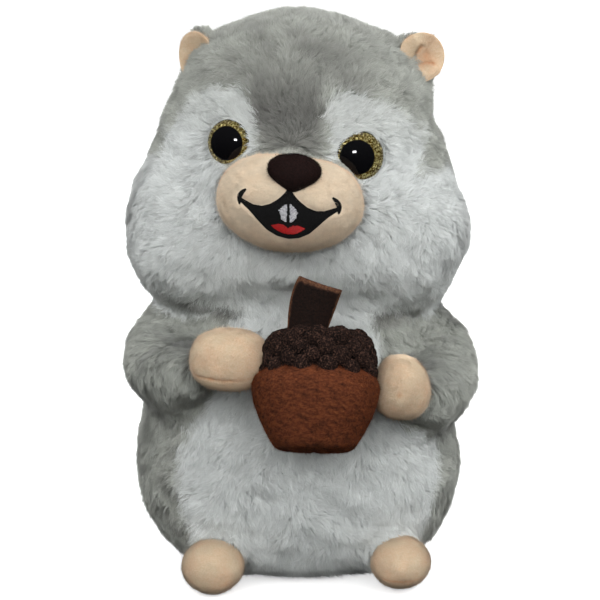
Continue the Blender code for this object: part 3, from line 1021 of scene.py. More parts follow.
def gather_locks(found, pull, rng):
    """Draw tufts' tips together into locks."""
    count = len(found.root)
    cell = np.floor(found.root / LOCK_SPACING).astype(np.int64)
    key = cell[:, 0] * 73856093 ^ cell[:, 1] * 19349663 ^ cell[:, 2] * 83492791
    heads = rng.permutation(count)[:len(np.unique(key)) * 3 // 4]
    tree = kdtree.KDTree(len(heads))
    for place, head in enumerate(heads):
        tree.insert(found.root[head], place)
    tree.balance()
    owner = np.array([tree.find(root)[1] for root in found.root])
    head = heads[owner]
    target = found.root[head] + (found.tip[head] - found.root[head]) * 1.05
    away = np.linalg.norm(found.tip - target, axis=1)
    share = pull * rng.uniform(0.6, 1.3, count) * hump((away, 2.2 * LOCK_SPACING))
    found.tip = found.tip + (target - found.tip) * share[:, None]
    found.lock_side = (found.root - found.root[head]) / LOCK_SPACING
    found.lock_tint = rng.uniform(0.0, 1.0, len(heads))[owner]


def blade_mesh(name, found, picked, rng, width):
    """One mesh of thin kite-shaped blades for the picked tufts."""
    tufts = np.repeat(picked, BLADES_PER_TUFT)
    count = len(tufts)
    root, tip, normal = found.root[tufts], found.tip[tufts], found.normal[tufts]
    sweep = tip - root
    reach = np.linalg.norm(sweep, axis=1)[:, None]
    side = unit_rows(np.cross(sweep, normal))
    fore = np.cross(normal, side)
    beside = rng.normal(0.0, 0.42, (count, 2)) * MM
    moved = side * beside[:, :1] + fore * beside[:, 1:]
    root = root + moved
    tip = tip + moved * rng.uniform(0.2, 1.1, (count, 1))
    tip = tip + rng.normal(0.0, 0.085, (count, 3)) * reach
    tip = root + (tip - root) * rng.uniform(0.88, 1.03, (count, 1))
    sweep = tip - root
    rise = (sweep * normal).sum(axis=1)[:, None]
    bend = root + normal * rise * 0.95 + (sweep - normal * rise) * 0.30
    way = unit_rows(sweep)
    side = unit_rows(np.cross(way, normal))
    side = unit_rows(turned_about(side, way, rng.uniform(-0.7, 0.7, (count, 1))))
    wide = (width * rng.uniform(0.7, 1.25, (count, 1))) * 0.5
    middle = root * 0.25 + bend * 0.5 + tip * 0.25
    points = np.stack([root, middle - side * wide, middle + side * wide, tip], axis=1)
    points[..., 2] = np.maximum(points[..., 2], LOWEST_HAIR)
    along = np.array((0.0, 0.5, 0.5, 1.0))
    corners = np.array(((0, 1, 2), (1, 3, 2)))
    triangles = (np.arange(count)[:, None, None] * 4 + corners[None]).reshape(-1, 3)
    mesh = mesh_from_arrays(name, points.reshape(-1, 3), triangles)

    lock = flattened(found.lock_side[tufts], normal)
    slope = flattened(found.slope[tufts], normal)
    lit = np.where(found.ear[tufts][:, None], (0.0, -1.2, 0.6), (0.0, 0.0, 0.18))
    shaded = unit_rows(normal - slope * (1.7 - 0.8 * found.white[tufts])[:, None] + lit)
    shaded = unit_rows(shaded * 0.94 + unit_rows(np.cross(side, way)) * 0.06 + lock * 0.20)

    tint = 0.5 + 0.5 * (found.lock_tint[tufts] - 0.5) + rng.normal(0.0, 0.13, count)
    tint = np.clip(tint + found.streak[tufts], 0.0, 1.0)
    values = np.empty((count, 4, 4), np.float32)
    values[..., 1] = along[None]
    for channel, value in ((0, found.white[tufts]), (2, tint), (3, found.dark[tufts])):
        values[..., channel] = value[:, None]
    set_attribute(mesh, "coat", values.reshape(-1, 4))
    kite = np.array(((0.0, -0.5), (-0.3, 0.0), (0.3, 0.0), (0.0, 0.5))) * PATCH
    flat = found.flat[tufts][:, None, :] + kite[None]
    write_map(mesh, flat.reshape(-1, 2)[triangles.ravel()])
    mesh.shade_smooth()
    shaded = np.repeat(shaded, 4, axis=0)
    mesh.normals_split_custom_set_from_vertices(shaded.astype(np.float32))
    return mesh


def eye_frame(sign):
    return Matrix.Rotation(sign * EYE_TURN, 3, "Z")


def clear_of_eye(found, side, sign):
    """Which tufts leave an eye free; they lap over its edge, more on the nose's side."""
    middle, half, _, _, free = EYES[side]
    centre, turned = np.array(in_face(middle)), np.array(FACE_TURNED @ eye_frame(sign))
    clear = np.ones(len(found.root), bool)
    for share in (0.0, 0.5, 0.8, 1.0):
        place = (found.root + (found.tip - found.root) * share - centre) @ turned / MM
        across, up = place[:, 0] / half[0], place[:, 2] / half[2]
        away = np.hypot(across, up)
        inner = np.clip(-sign * across / np.maximum(away, 0.05), 0.0, 1.0)
        clear &= (away > free - 0.10 * inner) | (np.abs(place[:, 1]) > 14.0)
    return clear


def grow_coat(skin):
    """The long pile, as one piece for each area of the toy."""
    rng = np.random.default_rng(COAT_SEED)
    length = np.full(len(skin.points), FILLER_LENGTH)
    density = np.zeros(len(skin.points))
    for name, (_, pile_length, tufts) in COAT.items():
        length[on(skin.node, name)] = pile_length
        density[on(skin.node, name)] = tufts
    across, back, up = face_coordinates(skin.points).T
    near_face = hump((across, 36.0), (up - 6.0, 32.0)) * (back < 0)
    length = np.where(on(skin.node, "head"), length * (1.0 - 0.35 * near_face), length)
    density = density * (0.72 + 0.45 * smooth_step(25.0, -15.0, skin.points[:, 1] / MM))
    skin.length = evened(length, skin.edges, 8) * MM
    skin.lie = lie_of_pile(skin)
    triangle, weights = sample_roots(skin, density, rng)
    found = tuft_fields(skin, triangle, weights, rng)
    shaggy = on(found.node, "arm_left", "arm_right", "tail")
    gather_locks(found, np.where(shaggy, SHAGGY_PULL, PLAIN_PULL), rng)
    keep = np.ones(len(found.root), bool)
    for side, sign in SIDES:
        keep &= clear_of_eye(found, side, sign)
    seen = found.root + (found.tip - found.root) * 0.6
    seen = seen + rng.normal(0.0, 0.9 * MM, seen.shape)
    found.white, found.dark = markings(seen, found.node)
    found.streak = 0.22 * wander(found.root, 0.0045, 33) * (1.0 - 0.8 * found.white)
    for name in SKIN_FILLERS + ("acorn_nut", "acorn_cap"):
        low, high = (np.array(corner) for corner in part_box(name))
        near = ((found.tip > low - 0.002) & (found.tip < high + 0.002)).all(axis=1) & keep
        picked = np.flatnonzero(near)
        tree, _ = search_tree([frame["nodes"][name].data])
        keep[picked[inside_of(tree, found.tip[picked], -0.0004)]] = False
    x, y, z = found.root.T / MM
    head, trunk, tail = (on(found.node, name) for name in ("head", "trunk", "tail"))
    areas = {
        "coat_face": head & (y < -12.0) & (z < 182.0),
        "coat_brow": head & (y < -12.0) & (z >= 182.0),
        "coat_crown_left": head & (y >= -12.0) & (x >= 0.0),
        "coat_crown_right": head & (y >= -12.0) & (x < 0.0),
        "coat_belly": trunk & (y < -26.0),
        "coat_back_left": trunk & (y >= -26.0) & (x >= 0.0),
        "coat_back_right": trunk & (y >= -26.0) & (x < 0.0),
        "coat_arms": on(found.node, "arm_left", "arm_right"),
        "coat_ears": found.ear,
        "coat_tail_low": tail & (z < 80.0),
        "coat_tail_high": tail & (z >= 80.0),
    }
    for name, here in areas.items():
        width = EAR_BLADE_WIDTH if name == "coat_ears" else BLADE_WIDTH
        mesh = blade_mesh(name, found, np.flatnonzero(here & keep), rng, width)
        yield link_piece(name, mesh, "pile")


# ---------------------------------------------------------------- face


def skewed(point, sign=1.0):
    across, up = sign * point[0], point[1]
    return (MOUTH_PEAK[0] + across + MOUTH_SKEW * up, MOUTH_PEAK[1] + up)


def mirrored(outline):
    """Both sides of an outline that is given for the toy's left, as one closed loop."""
    return [skewed(p) for p in outline] + [skewed(p, -1.0) for p in reversed(outline) if p[0] > 1e-6]


def dense(points, step):
    """An open line with points about step millimetres apart."""
    found = []
    for (ax, az), (bx, bz) in zip(points, points[1:]):
        parts = max(1, int(math.hypot(bx - ax, bz - az) / step))
        found += [(ax + (bx - ax) * k / parts, az + (bz - az) * k / parts) for k in range(parts)]
    return found + [points[-1]]


UPPER_EDGE = [skewed(p, -1.0) for p in reversed(UPPER_LIP)] + [skewed(p) for p in UPPER_LIP[1:]]
LOWER_EDGE = [skewed(p) for p in LOWER_LIP] + [skewed(p, -1.0) for p in reversed(LOWER_LIP[:-1])]


def make_muzzle():
    """Two puffed cheeks and a chin, with a crease along the upper lip."""
    bm, points = ball(7)
    squared = np.sign(points) * np.abs(points) ** 0.96
    shaped = squared * np.array(MUZZLE_HALF) + np.array(MUZZLE_PLACE)
    normal = unit_rows(points / np.array(MUZZLE_HALF))
    x, y, z = shaped.T
    line = np.array(dense(UPPER_EDGE, 0.8))
    gap = np.min(np.hypot(x[:, None] - line[:, 0], z[:, None] - line[:, 1]), axis=1)
    puff = hump((np.abs(x - 1.0) - 12.5, 9.0), (z - 3.0, 8.0))
    chin = hump((x, 14.0), (z + 17.0, 5.0))
    dip = hump((x - 1.5, 13.0)) * smooth_step(9.0, 15.0, z)
    offset = smooth_step(-60.0, -70.0, y) * (1.1 * puff - 0.9 * hump((gap, 1.8)) + 0.6 * chin)
    offset = offset + 0.25 * wander(shaped * MM, 0.011, 3) - 2.2 * dip
    shaped = shaped + normal * offset[:, None]
    # Painted shade: deeper, more orange velboa towards the muzzle's back, where it meets the fur
    seam = smooth_step(-62.0, -50.0, shaped[:, 1]) * 0.7
    return ball_piece("muzzle_velboa", bm, shaped, in_face, "muzzle", seam)


def make_nose():
    """A ball that narrows downward, with a flattened front."""
    bm, points = ball()
    x, y, z = points.T
    below = np.maximum(0.0, -z)
    wide = 1.0 + 0.12 * z - 0.26 * below ** 1.4
    low = 1.0 + 0.10 * below * (1.0 - np.abs(x))
    flat = 1.0 - 0.10 * (1.0 - np.minimum(1.0, x * x + z * z)) * (y < 0)
    shaped = np.stack([x * wide, y * flat, z * low], axis=1) * np.array(NOSE_HALF)
    return ball_piece("nose_velour", bm, shaped + np.array(NOSE_PLACE), in_face, "nose")


def make_eye(side, sign):
    """A domed disc with a narrow rolled rim and a flat back, turned a little outward."""
    place, (half_x, depth, half_z), radius, moved, _ = EYES[side]
    turn = eye_frame(sign)
    dome_rings, around = 24, 64
    bm = bmesh.new()
    dome, disc = bm.loops.layers.uv.new("dome"), bm.loops.layers.uv.new("disc")

    def at(share, angle, forward):
        local = Vector((half_x * share * math.cos(angle), -forward, half_z * share * math.sin(angle)))
        return in_face(Vector(place) + turn @ local)

    def mapped(corners, polar):
        face = bm.faces.new(corners)
        for loop, (share, turned) in zip(face.loops, polar):
            angle = 2 * math.pi * turned / around
            x, y = 0.5 * share * math.cos(angle), 0.5 * share * math.sin(angle)
            loop[dome].uv = (0.5 + x, 0.5 + y)
            loop[disc].uv = (0.5 + (x - moved) * 0.36 / radius, 0.5 + y * 0.36 / radius)

    leans = [0.5 * math.pi * ring / dome_rings for ring in range(1, dome_rings + 1)]
    rows = [(math.sin(lean), depth * math.cos(lean) ** 1.1) for lean in leans]
    rows += [(0.97, -1.0), (0.90, -1.4)]
    shares = [math.sin(lean) for lean in leans] + [1.0, 1.0]
    loops = [new_ring(bm, around, lambda angle: at(share, angle, forward)) for share, forward in rows]
    centre = bm.verts.new(at(0.0, 0.0, depth))
    back = bm.verts.new(at(0.0, 0.0, -1.5))
    for k in range(around):
        after = (k + 1) % around
        mapped((centre, loops[0][k], loops[0][after]), ((0, k), (shares[0], k), (shares[0], k + 1)))
        for inner, outer, a, b in zip(loops, loops[1:], shares, shares[1:]):
            mapped((inner[k], outer[k], outer[after], inner[after]),
                   ((a, k), (b, k), (b, k + 1), (a, k + 1)))
        mapped((loops[-1][k], back, loops[-1][after]), ((1.0, k), (1.0, k), (1.0, k + 1)))
    return link_piece(f"glitter_eye_{side}", mesh_of(bm, f"glitter_eye_{side}"), "eye")


# ---------------------------------------------------------------- threads


def thread_tree():
    """Geometry Nodes: edges become round threads, with even ends."""
    group, tree, given, made = new_group(
        "satin_threads", "GeometryNodeTree",
        {"Lines": ("Geometry", None), "Thread Radius": ("Float", 0.0002), "Sides": ("Int", 5),
         "Thread": ("Material", None)},
        {"Threads": ("Geometry", None)})
    lines = tree.get("GeometryNodeMeshToCurve", {"Mesh": given["Lines"]})
    sizes = {"Resolution": given["Sides"], "Radius": given["Thread Radius"]}
    ring = tree.get("GeometryNodeCurvePrimitiveCircle", sizes)
    sockets = {"Curve": lines, "Profile Curve": ring, "Fill Caps": True}
    tube = tree.get("GeometryNodeCurveToMesh", sockets)
    smooth = tree.get("GeometryNodeSetShadeSmooth", {"Geometry": tube})
    real = tree.get("GeometryNodeRealizeInstances", {"Geometry": smooth})
    dyed = tree.get("GeometryNodeSetMaterial", {"Geometry": real, "Material": given["Thread"]})
    tree.feed(made["Threads"], dyed)
    return group


def threads_piece(name, runs, material):
    """Threads along the given runs of points, as one plain mesh."""
    mesh = bpy.data.meshes.new(name)
    points, edges = [], []
    for run in runs:
        edges += [(len(points) + k, len(points) + k + 1) for k in range(len(run) - 1)]
        points += [tuple(p) for p in run]
    mesh.from_pydata(points, edges, [])
    piece = link_piece(name, mesh, material)
    return apply_tree(piece, THREADS, Thread_Radius=THREAD_RADIUS, Sides=5, Thread=MATERIALS[material])


THREADS = thread_tree()


def spans(outline, level):
    """Where a line at this height crosses a closed outline."""
    crossings = []
    for (ax, az), (bx, bz) in zip(outline, outline[1:] + outline[:1]):
        if (az > level) != (bz > level):
            crossings.append(ax + (bx - ax) * (level - az) / (bz - az))
    crossings.sort()
    return list(zip(crossings[::2], crossings[1::2]))


def hatch(outline, slope, spacing):
    """Straight stitches across an outline, side by side."""
    c, s = math.cos(math.radians(slope)), math.sin(math.radians(slope))
    turned = [(x * c + z * s, -x * s + z * c) for x, z in outline]
    low, high = min(z for _, z in turned), max(z for _, z in turned)
    found = []
    for row in range(int((high - low) / spacing)):
        level = low + (row + 0.5) * spacing
        for ends in spans(turned, level):
            if ends[1] - ends[0] > 0.25:
                found.append([(x * c - level * s, x * s + level * c) for x in ends])
    return found


def on_cloth(tree, across, up, lift):
    """A point of the muzzle's front, raised by lift."""
    start = in_face((across, -120.0, up))
    place, normal, _, _ = tree.ray_cast(start, FACE_TURNED @ Vector((0.0, 1.0, 0.0)))
    if place is None:
        place, normal, _, _ = tree.find_nearest(start)
    return place + normal * (lift * MM)


def stitched(cloth, ends, lift, arch, parts):
    """One stitch over the cloth that arches a little in its middle."""
    (ax, az), (bx, bz) = ends
    return [on_cloth(cloth, ax + (bx - ax) * share, az + (bz - az) * share,
                     lift + arch * 4.0 * share * (1.0 - share))
            for share in (k / parts for k in range(parts + 1))]


def frayed(ends, rng):
    """The same stitch with its ends a little longer or shorter."""
    (ax, az), (bx, bz) = ends
    first, last = rng.uniform(-0.10, 0.12, 2)
    return ((ax + (ax - bx) * first, az + (az - bz) * first),
            (bx + (bx - ax) * last, bz + (bz - az) * last))


def satin_border(line, width, cloth, lift):
    """Short stitches across a line, with the width varying along it."""
    runs = []
    points = dense(line, 0.28)
    for index, (x, z) in enumerate(points):
        ax, az = points[max(index - 1, 0)]
        bx, bz = points[min(index + 1, len(points) - 1)]
        length = math.hypot(bx - ax, bz - az) or 1.0
        half = 0.5 * width(index / max(1, len(points) - 1))
        nx, nz = -(bz - az) / length * half, (bx - ax) / length * half
        runs.append(stitched(cloth, ((x - nx, z - nz), (x + nx, z + nz)), lift, 0.12, 3))
    return runs


def make_mouth(muzzle):
    """Black satin stitching, with two teeth and a tongue stitched over it."""
    rng = np.random.default_rng(12)
    cloth, _ = search_tree([muzzle.data])
    lips = hatch(mirrored(UPPER_LIP + LOWER_LIP), 62.0, 0.30)
    black = [stitched(cloth, ends, 0.12, 0.10, 8) for ends in lips]
    black += satin_border(UPPER_EDGE, lambda share: 1.3, cloth, 0.22)
    black += satin_border(LOWER_EDGE, lambda share: 1.2, cloth, 0.22)
    teeth = []

    def tapered(share):
        return 0.5 + 1.4 * math.sin(math.pi * share) ** 0.8

    for _, sign in SIDES:
        tick = [skewed(p, sign) for p in TICK]
        black += satin_border(tick, tapered, cloth, 0.2)
        tooth = hatch([skewed(p, sign) for p in TOOTH], -14.0 * sign, 0.52)
        teeth += [stitched(cloth, frayed(ends, rng), 0.42, 0.16, 3) for ends in tooth]
    tongue = [stitched(cloth, ends, 0.42, 0.16, 4) for ends in hatch(mirrored(TONGUE), 18.0, 0.32)]
    return [threads_piece("mouth_stitching", black, "black_thread"),
            threads_piece("teeth_stitching", teeth, "white_thread"),
            threads_piece("tongue_stitching", tongue, "red_thread")]


# ---------------------------------------------------------------- ears, hands, feet


def make_lining(side):
    """A puffy cup: the left one has a deep fold, the right one a small hollow low down."""
    place, (lean, turn), shift, half = EARS[side]
    turned = np.array(Euler((0.0, math.radians(lean), math.radians(turn))).to_matrix())
    bm, points = ball()
    x, y, z = points.T
    away = x * x + z * z
    if side == "left":
        hollow = near_line(x, z, (0.12, 0.0), (0.27, 0.2), 0.30)
        fold = np.maximum(near_line(x, z, (-0.08, -0.33), (-0.21, 0.38), 0.10),
                          near_line(x, z, (-0.08, -0.33), (0.61, 0.18), 0.08))
        pad = 1.7 * near_line(x, z, (-0.55, -0.1), (-0.52, 0.2), 0.34)
        pad += 1.2 * near_line(x, z, (0.40, -0.40), (0.70, -0.15), 0.26)
    else:
        hollow = near_line(x, z, (-0.28, 0.28), (-0.70, 0.16), 0.19)
        fold = near_line(x, z, (-0.62, 0.12), (-0.70, 0.10), 0.13)
        pad = 0.7 * near_line(x, z, (-0.1, 0.8), (0.2, 0.8), 0.3)
    front = smooth_step(0.3, -0.1, y)
    dish = (0.9 * hollow + 0.9 * fold - pad * smooth_step(1.0, 0.7, away)) * front
    narrowing = 1.0 - EAR_NARROWING * np.maximum(0.0, -z)
    local = np.stack([half[0] * x * narrowing,
                      half[1] * y - EAR_CUP * away - LINING_FORWARD + dish,
                      half[2] * z], axis=1)
    # Painted shade: deeper orange in the fold and the hollow; the faint band along the rim is its seam
    fold_shade_and_rim_seam = np.maximum(front * np.maximum(fold, 0.6 * hollow), 0.15 * smooth_step(0.7, 1.0, away))

    def at(point):
        return placed(place) + (Vector(shift) + Vector(point)) * MM

    return ball_piece(f"ear_velboa_{side}", bm, local @ turned.T, at, "velboa", fold_shade_and_rim_seam)


def stuffed_end(name, place, half, bm, points, seam, depth, lump, seed):
    """A stuffed ball with soft lumps and its seam pressed in."""
    points = points * half
    normal = unit_rows(points / half ** 2)
    lumps = lump * wander(points * MM, 0.010, seed)
    points = points + normal * (lumps - depth * seam)[:, None]
    return ball_piece(name, bm, points, lambda point: placed(place) + Vector(point) * MM, "velboa",
                      np.clip(seam, 0.0, 1.0))


def make_hand(side):
    """A stuffed mitten end; the right one has a broken seam across it."""
    place, half, power, seed = HANDS[side]
    bm, points = ball()
    points = np.sign(points) * np.abs(points) ** power
    if side == "left":
        points[:, 0] *= 1.0 - 0.10 * points[:, 2]
        dimple = hump((points[:, 0] + 0.15, 0.10), (points[:, 2] + 0.05, 0.10))
        seam = dimple * (points[:, 1] < 0.0)
    else:
        curve = points[:, 2] + 0.50 - 0.10 * points[:, 0] ** 2
        seam = hump((curve, 0.055)) * (0.55 + 0.45 * wander(points * 0.02, 0.011, 9))
    return stuffed_end(f"hand_velboa_{side}", place, np.array(half), bm, points, seam, 0.35, 0.35, seed)


def make_foot(side):
    """A stuffed foot with a faint curved seam over its front."""
    place, half, seam_seed, seed = FEET[side]
    bm, points = ball()
    curve = points[:, 2] + 0.45 - 0.16 * points[:, 0] ** 2
    seam = hump((curve, 0.05)) * (points[:, 1] < 0.3)
    seam *= 0.5 + 0.5 * wander(points * 0.02, 0.012, seam_seed)
    return stuffed_end(f"foot_velboa_{side}", place, np.array(half), bm, points, seam, 0.22, 0.30, seed)


def grow_nap(base, material, density, length, lie, rng, hidden=(), clear=(), lit=0.0):
    """The short pile of a sewn piece: single fine hairs that lean one way and catch the light."""
    cloth = SimpleNamespace(points=points_of(base.data), triangles=triangles_of(base.data))
    flat = unwrap(base)
    triangle, weights = sample_roots(cloth, np.full(len(cloth.points), density), rng)
    root = at_roots(cloth, cloth.points, triangle, weights)
    keep = np.ones(len(root), bool)
    for tree, margin in hidden:
        keep &= ~inside_of(tree, root, margin)
    for tree, margin in clear:
        keep &= np.array([tree.find_nearest(Vector(p), margin)[0] is None for p in root])
    root, triangle, weights = root[keep], triangle[keep], weights[keep]
    count = len(root)
    normal = unit_rows(at_roots(cloth, point_normals(cloth.points, cloth.triangles), triangle, weights))
    swirl = np.stack([wander(root, 0.004, seed) for seed in (61, 62, 63)], axis=1)
    swing = rng.normal(0.0, 0.35, (count, 3)) + 0.9 * swirl
    brushed = lie if isinstance(lie, tuple) else unit_rows(root - np.array(in_face(NAP_MIDDLE)))
    way = unit_rows(flattened(unit_rows(brushed + swing), normal))
    stray = np.where(rng.uniform(size=(count, 1)) < 0.06, 1.0, 0.0)
    rise = rng.uniform(0.30, 0.70, (count, 1)) + 0.22 * stray
    reach = length * MM * rng.uniform(0.75, 1.2, (count, 1)) * (1.0 + 0.9 * stray)
    tip = root + (way * np.sqrt(1.0 - rise * rise) + normal * rise) * reach
    side = unit_rows(np.cross(way, normal)) * (0.06 * MM)
    points = np.stack([root - side, root + side, tip], axis=1)
    points[..., 2] = np.maximum(points[..., 2], LOWEST_HAIR)
    name = base.name + "_nap"
    mesh = mesh_from_arrays(name, points.reshape(-1, 3), np.arange(count * 3).reshape(-1, 3))
    seam = np.zeros(len(cloth.points), np.float32)
    if "seam" in base.data.attributes:
        base.data.attributes["seam"].data.foreach_get("value", seam)
    set_attribute(mesh, "seam", np.repeat(at_roots(cloth, seam, triangle, weights), 3))
    streak = wander(root * np.array((0.5, 1.0, 1.0)), 0.0010, 64)[:, None]
    streak += 0.7 * wander(root * np.array((0.4, 1.0, 1.0)), 0.0006, 68)[:, None]
    hair = np.array((0.3, 0.3, 1.0))[None] * (rng.uniform(-0.3, 0.3, (count, 1)) + 0.8 * streak)
    set_attribute(mesh, "hair", hair.ravel())
    place = (flat[triangle] * weights[:, :, None]).sum(axis=1)
    write_map(mesh, place[:, None, :] + np.array(((-0.3, -0.5), (0.3, -0.5), (0.0, 0.5)))[None] * PATCH)
    mesh.shade_smooth()
    ripple = np.stack([wander(root, 0.0016, seed) for seed in (65, 66, 67)], axis=1)
    catch = lit * np.array((0.0, -1.0, -0.35))
    shaded = unit_rows(normal + rng.normal(0.0, 0.10, (count, 3)) + 0.07 * ripple + catch)
    mesh.normals_split_custom_set_from_vertices(np.repeat(shaded, 3, axis=0).astype(np.float32))
    return link_piece(name, mesh, material)


# ---------------------------------------------------------------- acorn


def nut_profile():
    """Radius and height from the middle of the flat seat, round its corner, to the crown."""
    profile = [(NUT_SEAT * k / 14, -NUT_BELOW) for k in range(14)]
    for k in range(10):
        angle = math.radians(-90.0 + 59.0 * k / 9)
        profile.append((NUT_SEAT + NUT_CORNER * math.cos(angle), -10.5 + NUT_CORNER * math.sin(angle)))
    for k in range(1, 33):
        height = -13.08 + (NUT_SHOULDER + 13.08) * k / 32
        profile.append((NUT_WIDEST - 0.089 * (NUT_SHOULDER - height) ** 1.5, height))
    for k in range(1, 21):
        share = math.sin(0.5 * math.pi * k / 20)
        radius = NUT_WIDEST * max(0.0, 1.0 - share ** 3.2) ** 0.42
        profile.append((radius, NUT_SHOULDER + (NUT_ABOVE - NUT_SHOULDER) * share))
    return profile


def make_nut():
    """A stuffed nut of sewn gores whose seams run down to the middle of the seat."""
    bm = bmesh.new()
    rings = []
    profile = nut_profile()
    for radius, height in profile[1:-1]:
        def at(angle):
            seam = min(abs(math.remainder(angle - s, 2 * math.pi)) for s in NUT_SEAMS)
            groove = 0.65 * math.exp(-((seam * max(radius, 4.0) / 0.9) ** 2))
            gore = 0.25 * math.cos(4.0 * (angle - NUT_SEAMS[0])) * (1.0 if height < 8 else 0.4)
            out = max(radius - groove - gore, 0.4)
            dent = 0.6 * groove if height < -13.0 else 0.0
            return in_acorn((out * math.cos(angle), out * math.sin(angle), height + dent))
        rings.append(new_ring(bm, 160, at))
    close_rings(bm, rings, (0, 0, profile[0][1] + 0.6), (0, 0, profile[-1][1]), split=True)
    return link_piece("nut_velour", mesh_of(bm, "nut_velour"), "nut")


def knob_tree():
    """Geometry Nodes: a woolly knob on every point, turned outward, with the size varying."""
    group, tree, given, made = new_group(
        "chenille_knobs", "GeometryNodeTree",
        {"Places": ("Geometry", None), "Knob Size": ("Float", 0.0035), "Seed": ("Int", 4),
         "Wool": ("Float", 0.0004), "Yarn": ("Material", None)},
        {"Knobs": ("Geometry", None)})
    knob = tree.get("GeometryNodeMeshIcoSphere", {"Radius": given["Knob Size"], "Subdivisions": 4})
    facing = tree.get("GeometryNodeInputNamedAttribute", {"Name": "outward"}, "Attribute",
                      data_type="FLOAT_VECTOR")
    turn = tree.get("FunctionNodeAlignEulerToVector", {"Vector": facing}, axis="Z")
    sizes = {"Min": (0.86, 0.84, 0.72), "Max": (1.14, 1.10, 0.95), "Seed": given["Seed"]}
    vary = tree.get("FunctionNodeRandomValue", sizes, data_type="FLOAT_VECTOR")
    sockets = {"Points": given["Places"], "Instance": knob, "Rotation": turn, "Scale": vary}
    knobs = tree.get("GeometryNodeInstanceOnPoints", sockets)
    real = tree.get("GeometryNodeRealizeInstances", {0: knobs})
    wool = tree.get("ShaderNodeTexNoise", {"Scale": 620.0, "Detail": 4.0, "Roughness": 0.7})
    push = tree.math("MULTIPLY", tree.math("SUBTRACT", wool, 0.5), given["Wool"])
    offset = tree.vector("SCALE", tree.get("GeometryNodeInputNormal"), scale=push)
    moved = tree.get("GeometryNodeSetPosition", {"Geometry": real, "Offset": offset})
    smooth = tree.get("GeometryNodeSetShadeSmooth", {0: moved})
    dyed = tree.get("GeometryNodeSetMaterial", {"Geometry": smooth, "Material": given["Yarn"]})
    tree.feed(made["Knobs"], dyed)
    return group


KNOBS = knob_tree()


def cap_surface(share, angle):
    """A point of the cap's dome in the acorn's frame; share 0 is the rim."""
    lean = 0.5 * math.pi * share
    radius = CAP_RADIUS * math.cos(lean) ** 0.27
    height = CAP_BASE + CAP_RISE * math.sin(lean)
    return Vector((radius * math.cos(angle), radius * math.sin(angle), height))


def make_knobs():
    """Rows of chenille knobs, sunk a little into the dome."""
    rng = np.random.default_rng(7)
    nudge = 0.004
    places, ways = [], []
    for row, (share, count) in enumerate(KNOB_ROWS):
        for k in range(count):
            angle = 2 * math.pi * (k + 0.5 * (row % 2) + 0.25) / count + rng.uniform(-0.06, 0.06)
            level = share + rng.uniform(-0.015, 0.015)
            along = cap_surface(level + nudge, angle) - cap_surface(level - nudge, angle)
            around = cap_surface(level, angle + nudge) - cap_surface(level, angle - nudge)
            way = around.cross(along).normalized()
            sunk = cap_surface(level, angle) - way * KNOB_SUNK
            places.append(in_acorn(sunk + Vector((CAP_SHIFT, 0.0, 0.0))))
            ways.append(ACORN_TURNED @ way)
    mesh = bpy.data.meshes.new("cap_knobs")
    mesh.from_pydata([tuple(p) for p in places], [], [])
    set_attribute(mesh, "outward", ways)
    knobs = link_piece("cap_knobs", mesh, "cap")
    return apply_tree(knobs, KNOBS, Knob_Size=KNOB_SIZE * MM, Seed=4, Wool=KNOB_WOOL * MM,
                      Yarn=MATERIALS["cap"])


def make_dome():
    """The knitted dome under the knobs."""
    bm = bmesh.new()
    steps = 20
    tops = [cap_surface(step / steps, 0.0) for step in range(steps)]
    profile = [(CAP_RADIUS - 4.4, CAP_BASE - 1.5)] + [(max(p.x - 4.0, 0.5), p.z - 2.4) for p in tops]
    rings = []
    for radius, height in profile:
        def at(angle):
            return in_acorn((radius * math.cos(angle), radius * math.sin(angle), height))
        rings.append(new_ring(bm, 64, at))
    close_rings(bm, rings, (0.0, 0.0, CAP_BASE - 1.5), (0.0, 0.0, CAP_BASE + CAP_RISE - 2.4))
    return link_piece("cap_dome", mesh_of(bm, "cap_dome"), "cap")


def make_stem():
    """A folded suede strap with a paler edge, partly its raw cut edge and partly painted light along
    the top of the fold.
    """
    bm = bmesh.new()
    bmesh.ops.create_cube(bm, size=1.0)
    for axis, cuts in ((2, 39), (0, 27), (1, 3)):
        runs = [e for e in bm.edges if abs((e.verts[0].co - e.verts[1].co)[axis]) > 0.5]
        bmesh.ops.subdivide_edges(bm, edges=runs, cuts=cuts, use_grid_fill=True)
    foot = placed(ACORN_PLACE) + (Matrix.Rotation(-ACORN_LEAN, 3, "X") @ Vector(STEM_FOOT)) * MM
    turned = Euler((0.0, ACORN_TIP, 0.0)).to_matrix()
    edge = []
    for vertex in bm.verts:
        x, y, z = vertex.co
        share = z + 0.5
        rounded = 1.0 - 0.16 * abs(2.0 * y) ** 2 * (abs(x) > 0.47)
        ragged = 0.025 * noise.noise(Vector((x * 14.0, z * 14.0, 3.0)))
        # Pale edge mask: thin bands down the cut sides and a wider band over the top fold, which is
        # partly painted light
        side = max(smooth_step(0.045, 0.01, 0.5 - abs(x) + ragged),
                   smooth_step(0.085, 0.03, 0.5 - z + ragged))
        left = -0.5 * STEM_WIDTH + STEM_LEAN * share ** 3.2
        right = 0.5 * STEM_WIDTH + STEM_FLARE * share
        beside = x * rounded + 0.5
        depth = y * STEM_THICKNESS * (1.0 - 0.25 * side) - STEM_BOW * (1.0 - 4.0 * x * x)
        tall = STEM_LENGTH * (1.0 - beside) + STEM_SHORT * beside
        vertex.co = foot + turned @ Vector((left + (right - left) * beside, depth, share * tall)) * MM
        edge.append(side)
    mesh = mesh_of(bm, "stem_strap")
    set_attribute(mesh, "edge", edge)
    return link_piece("stem_strap", mesh, "stem")


# ---------------------------------------------------------------- stage


# Room: how bright it is below and above, for light that isn't seen directly
ROOM_BELOW, ROOM_ABOVE = 0.05, 0.80
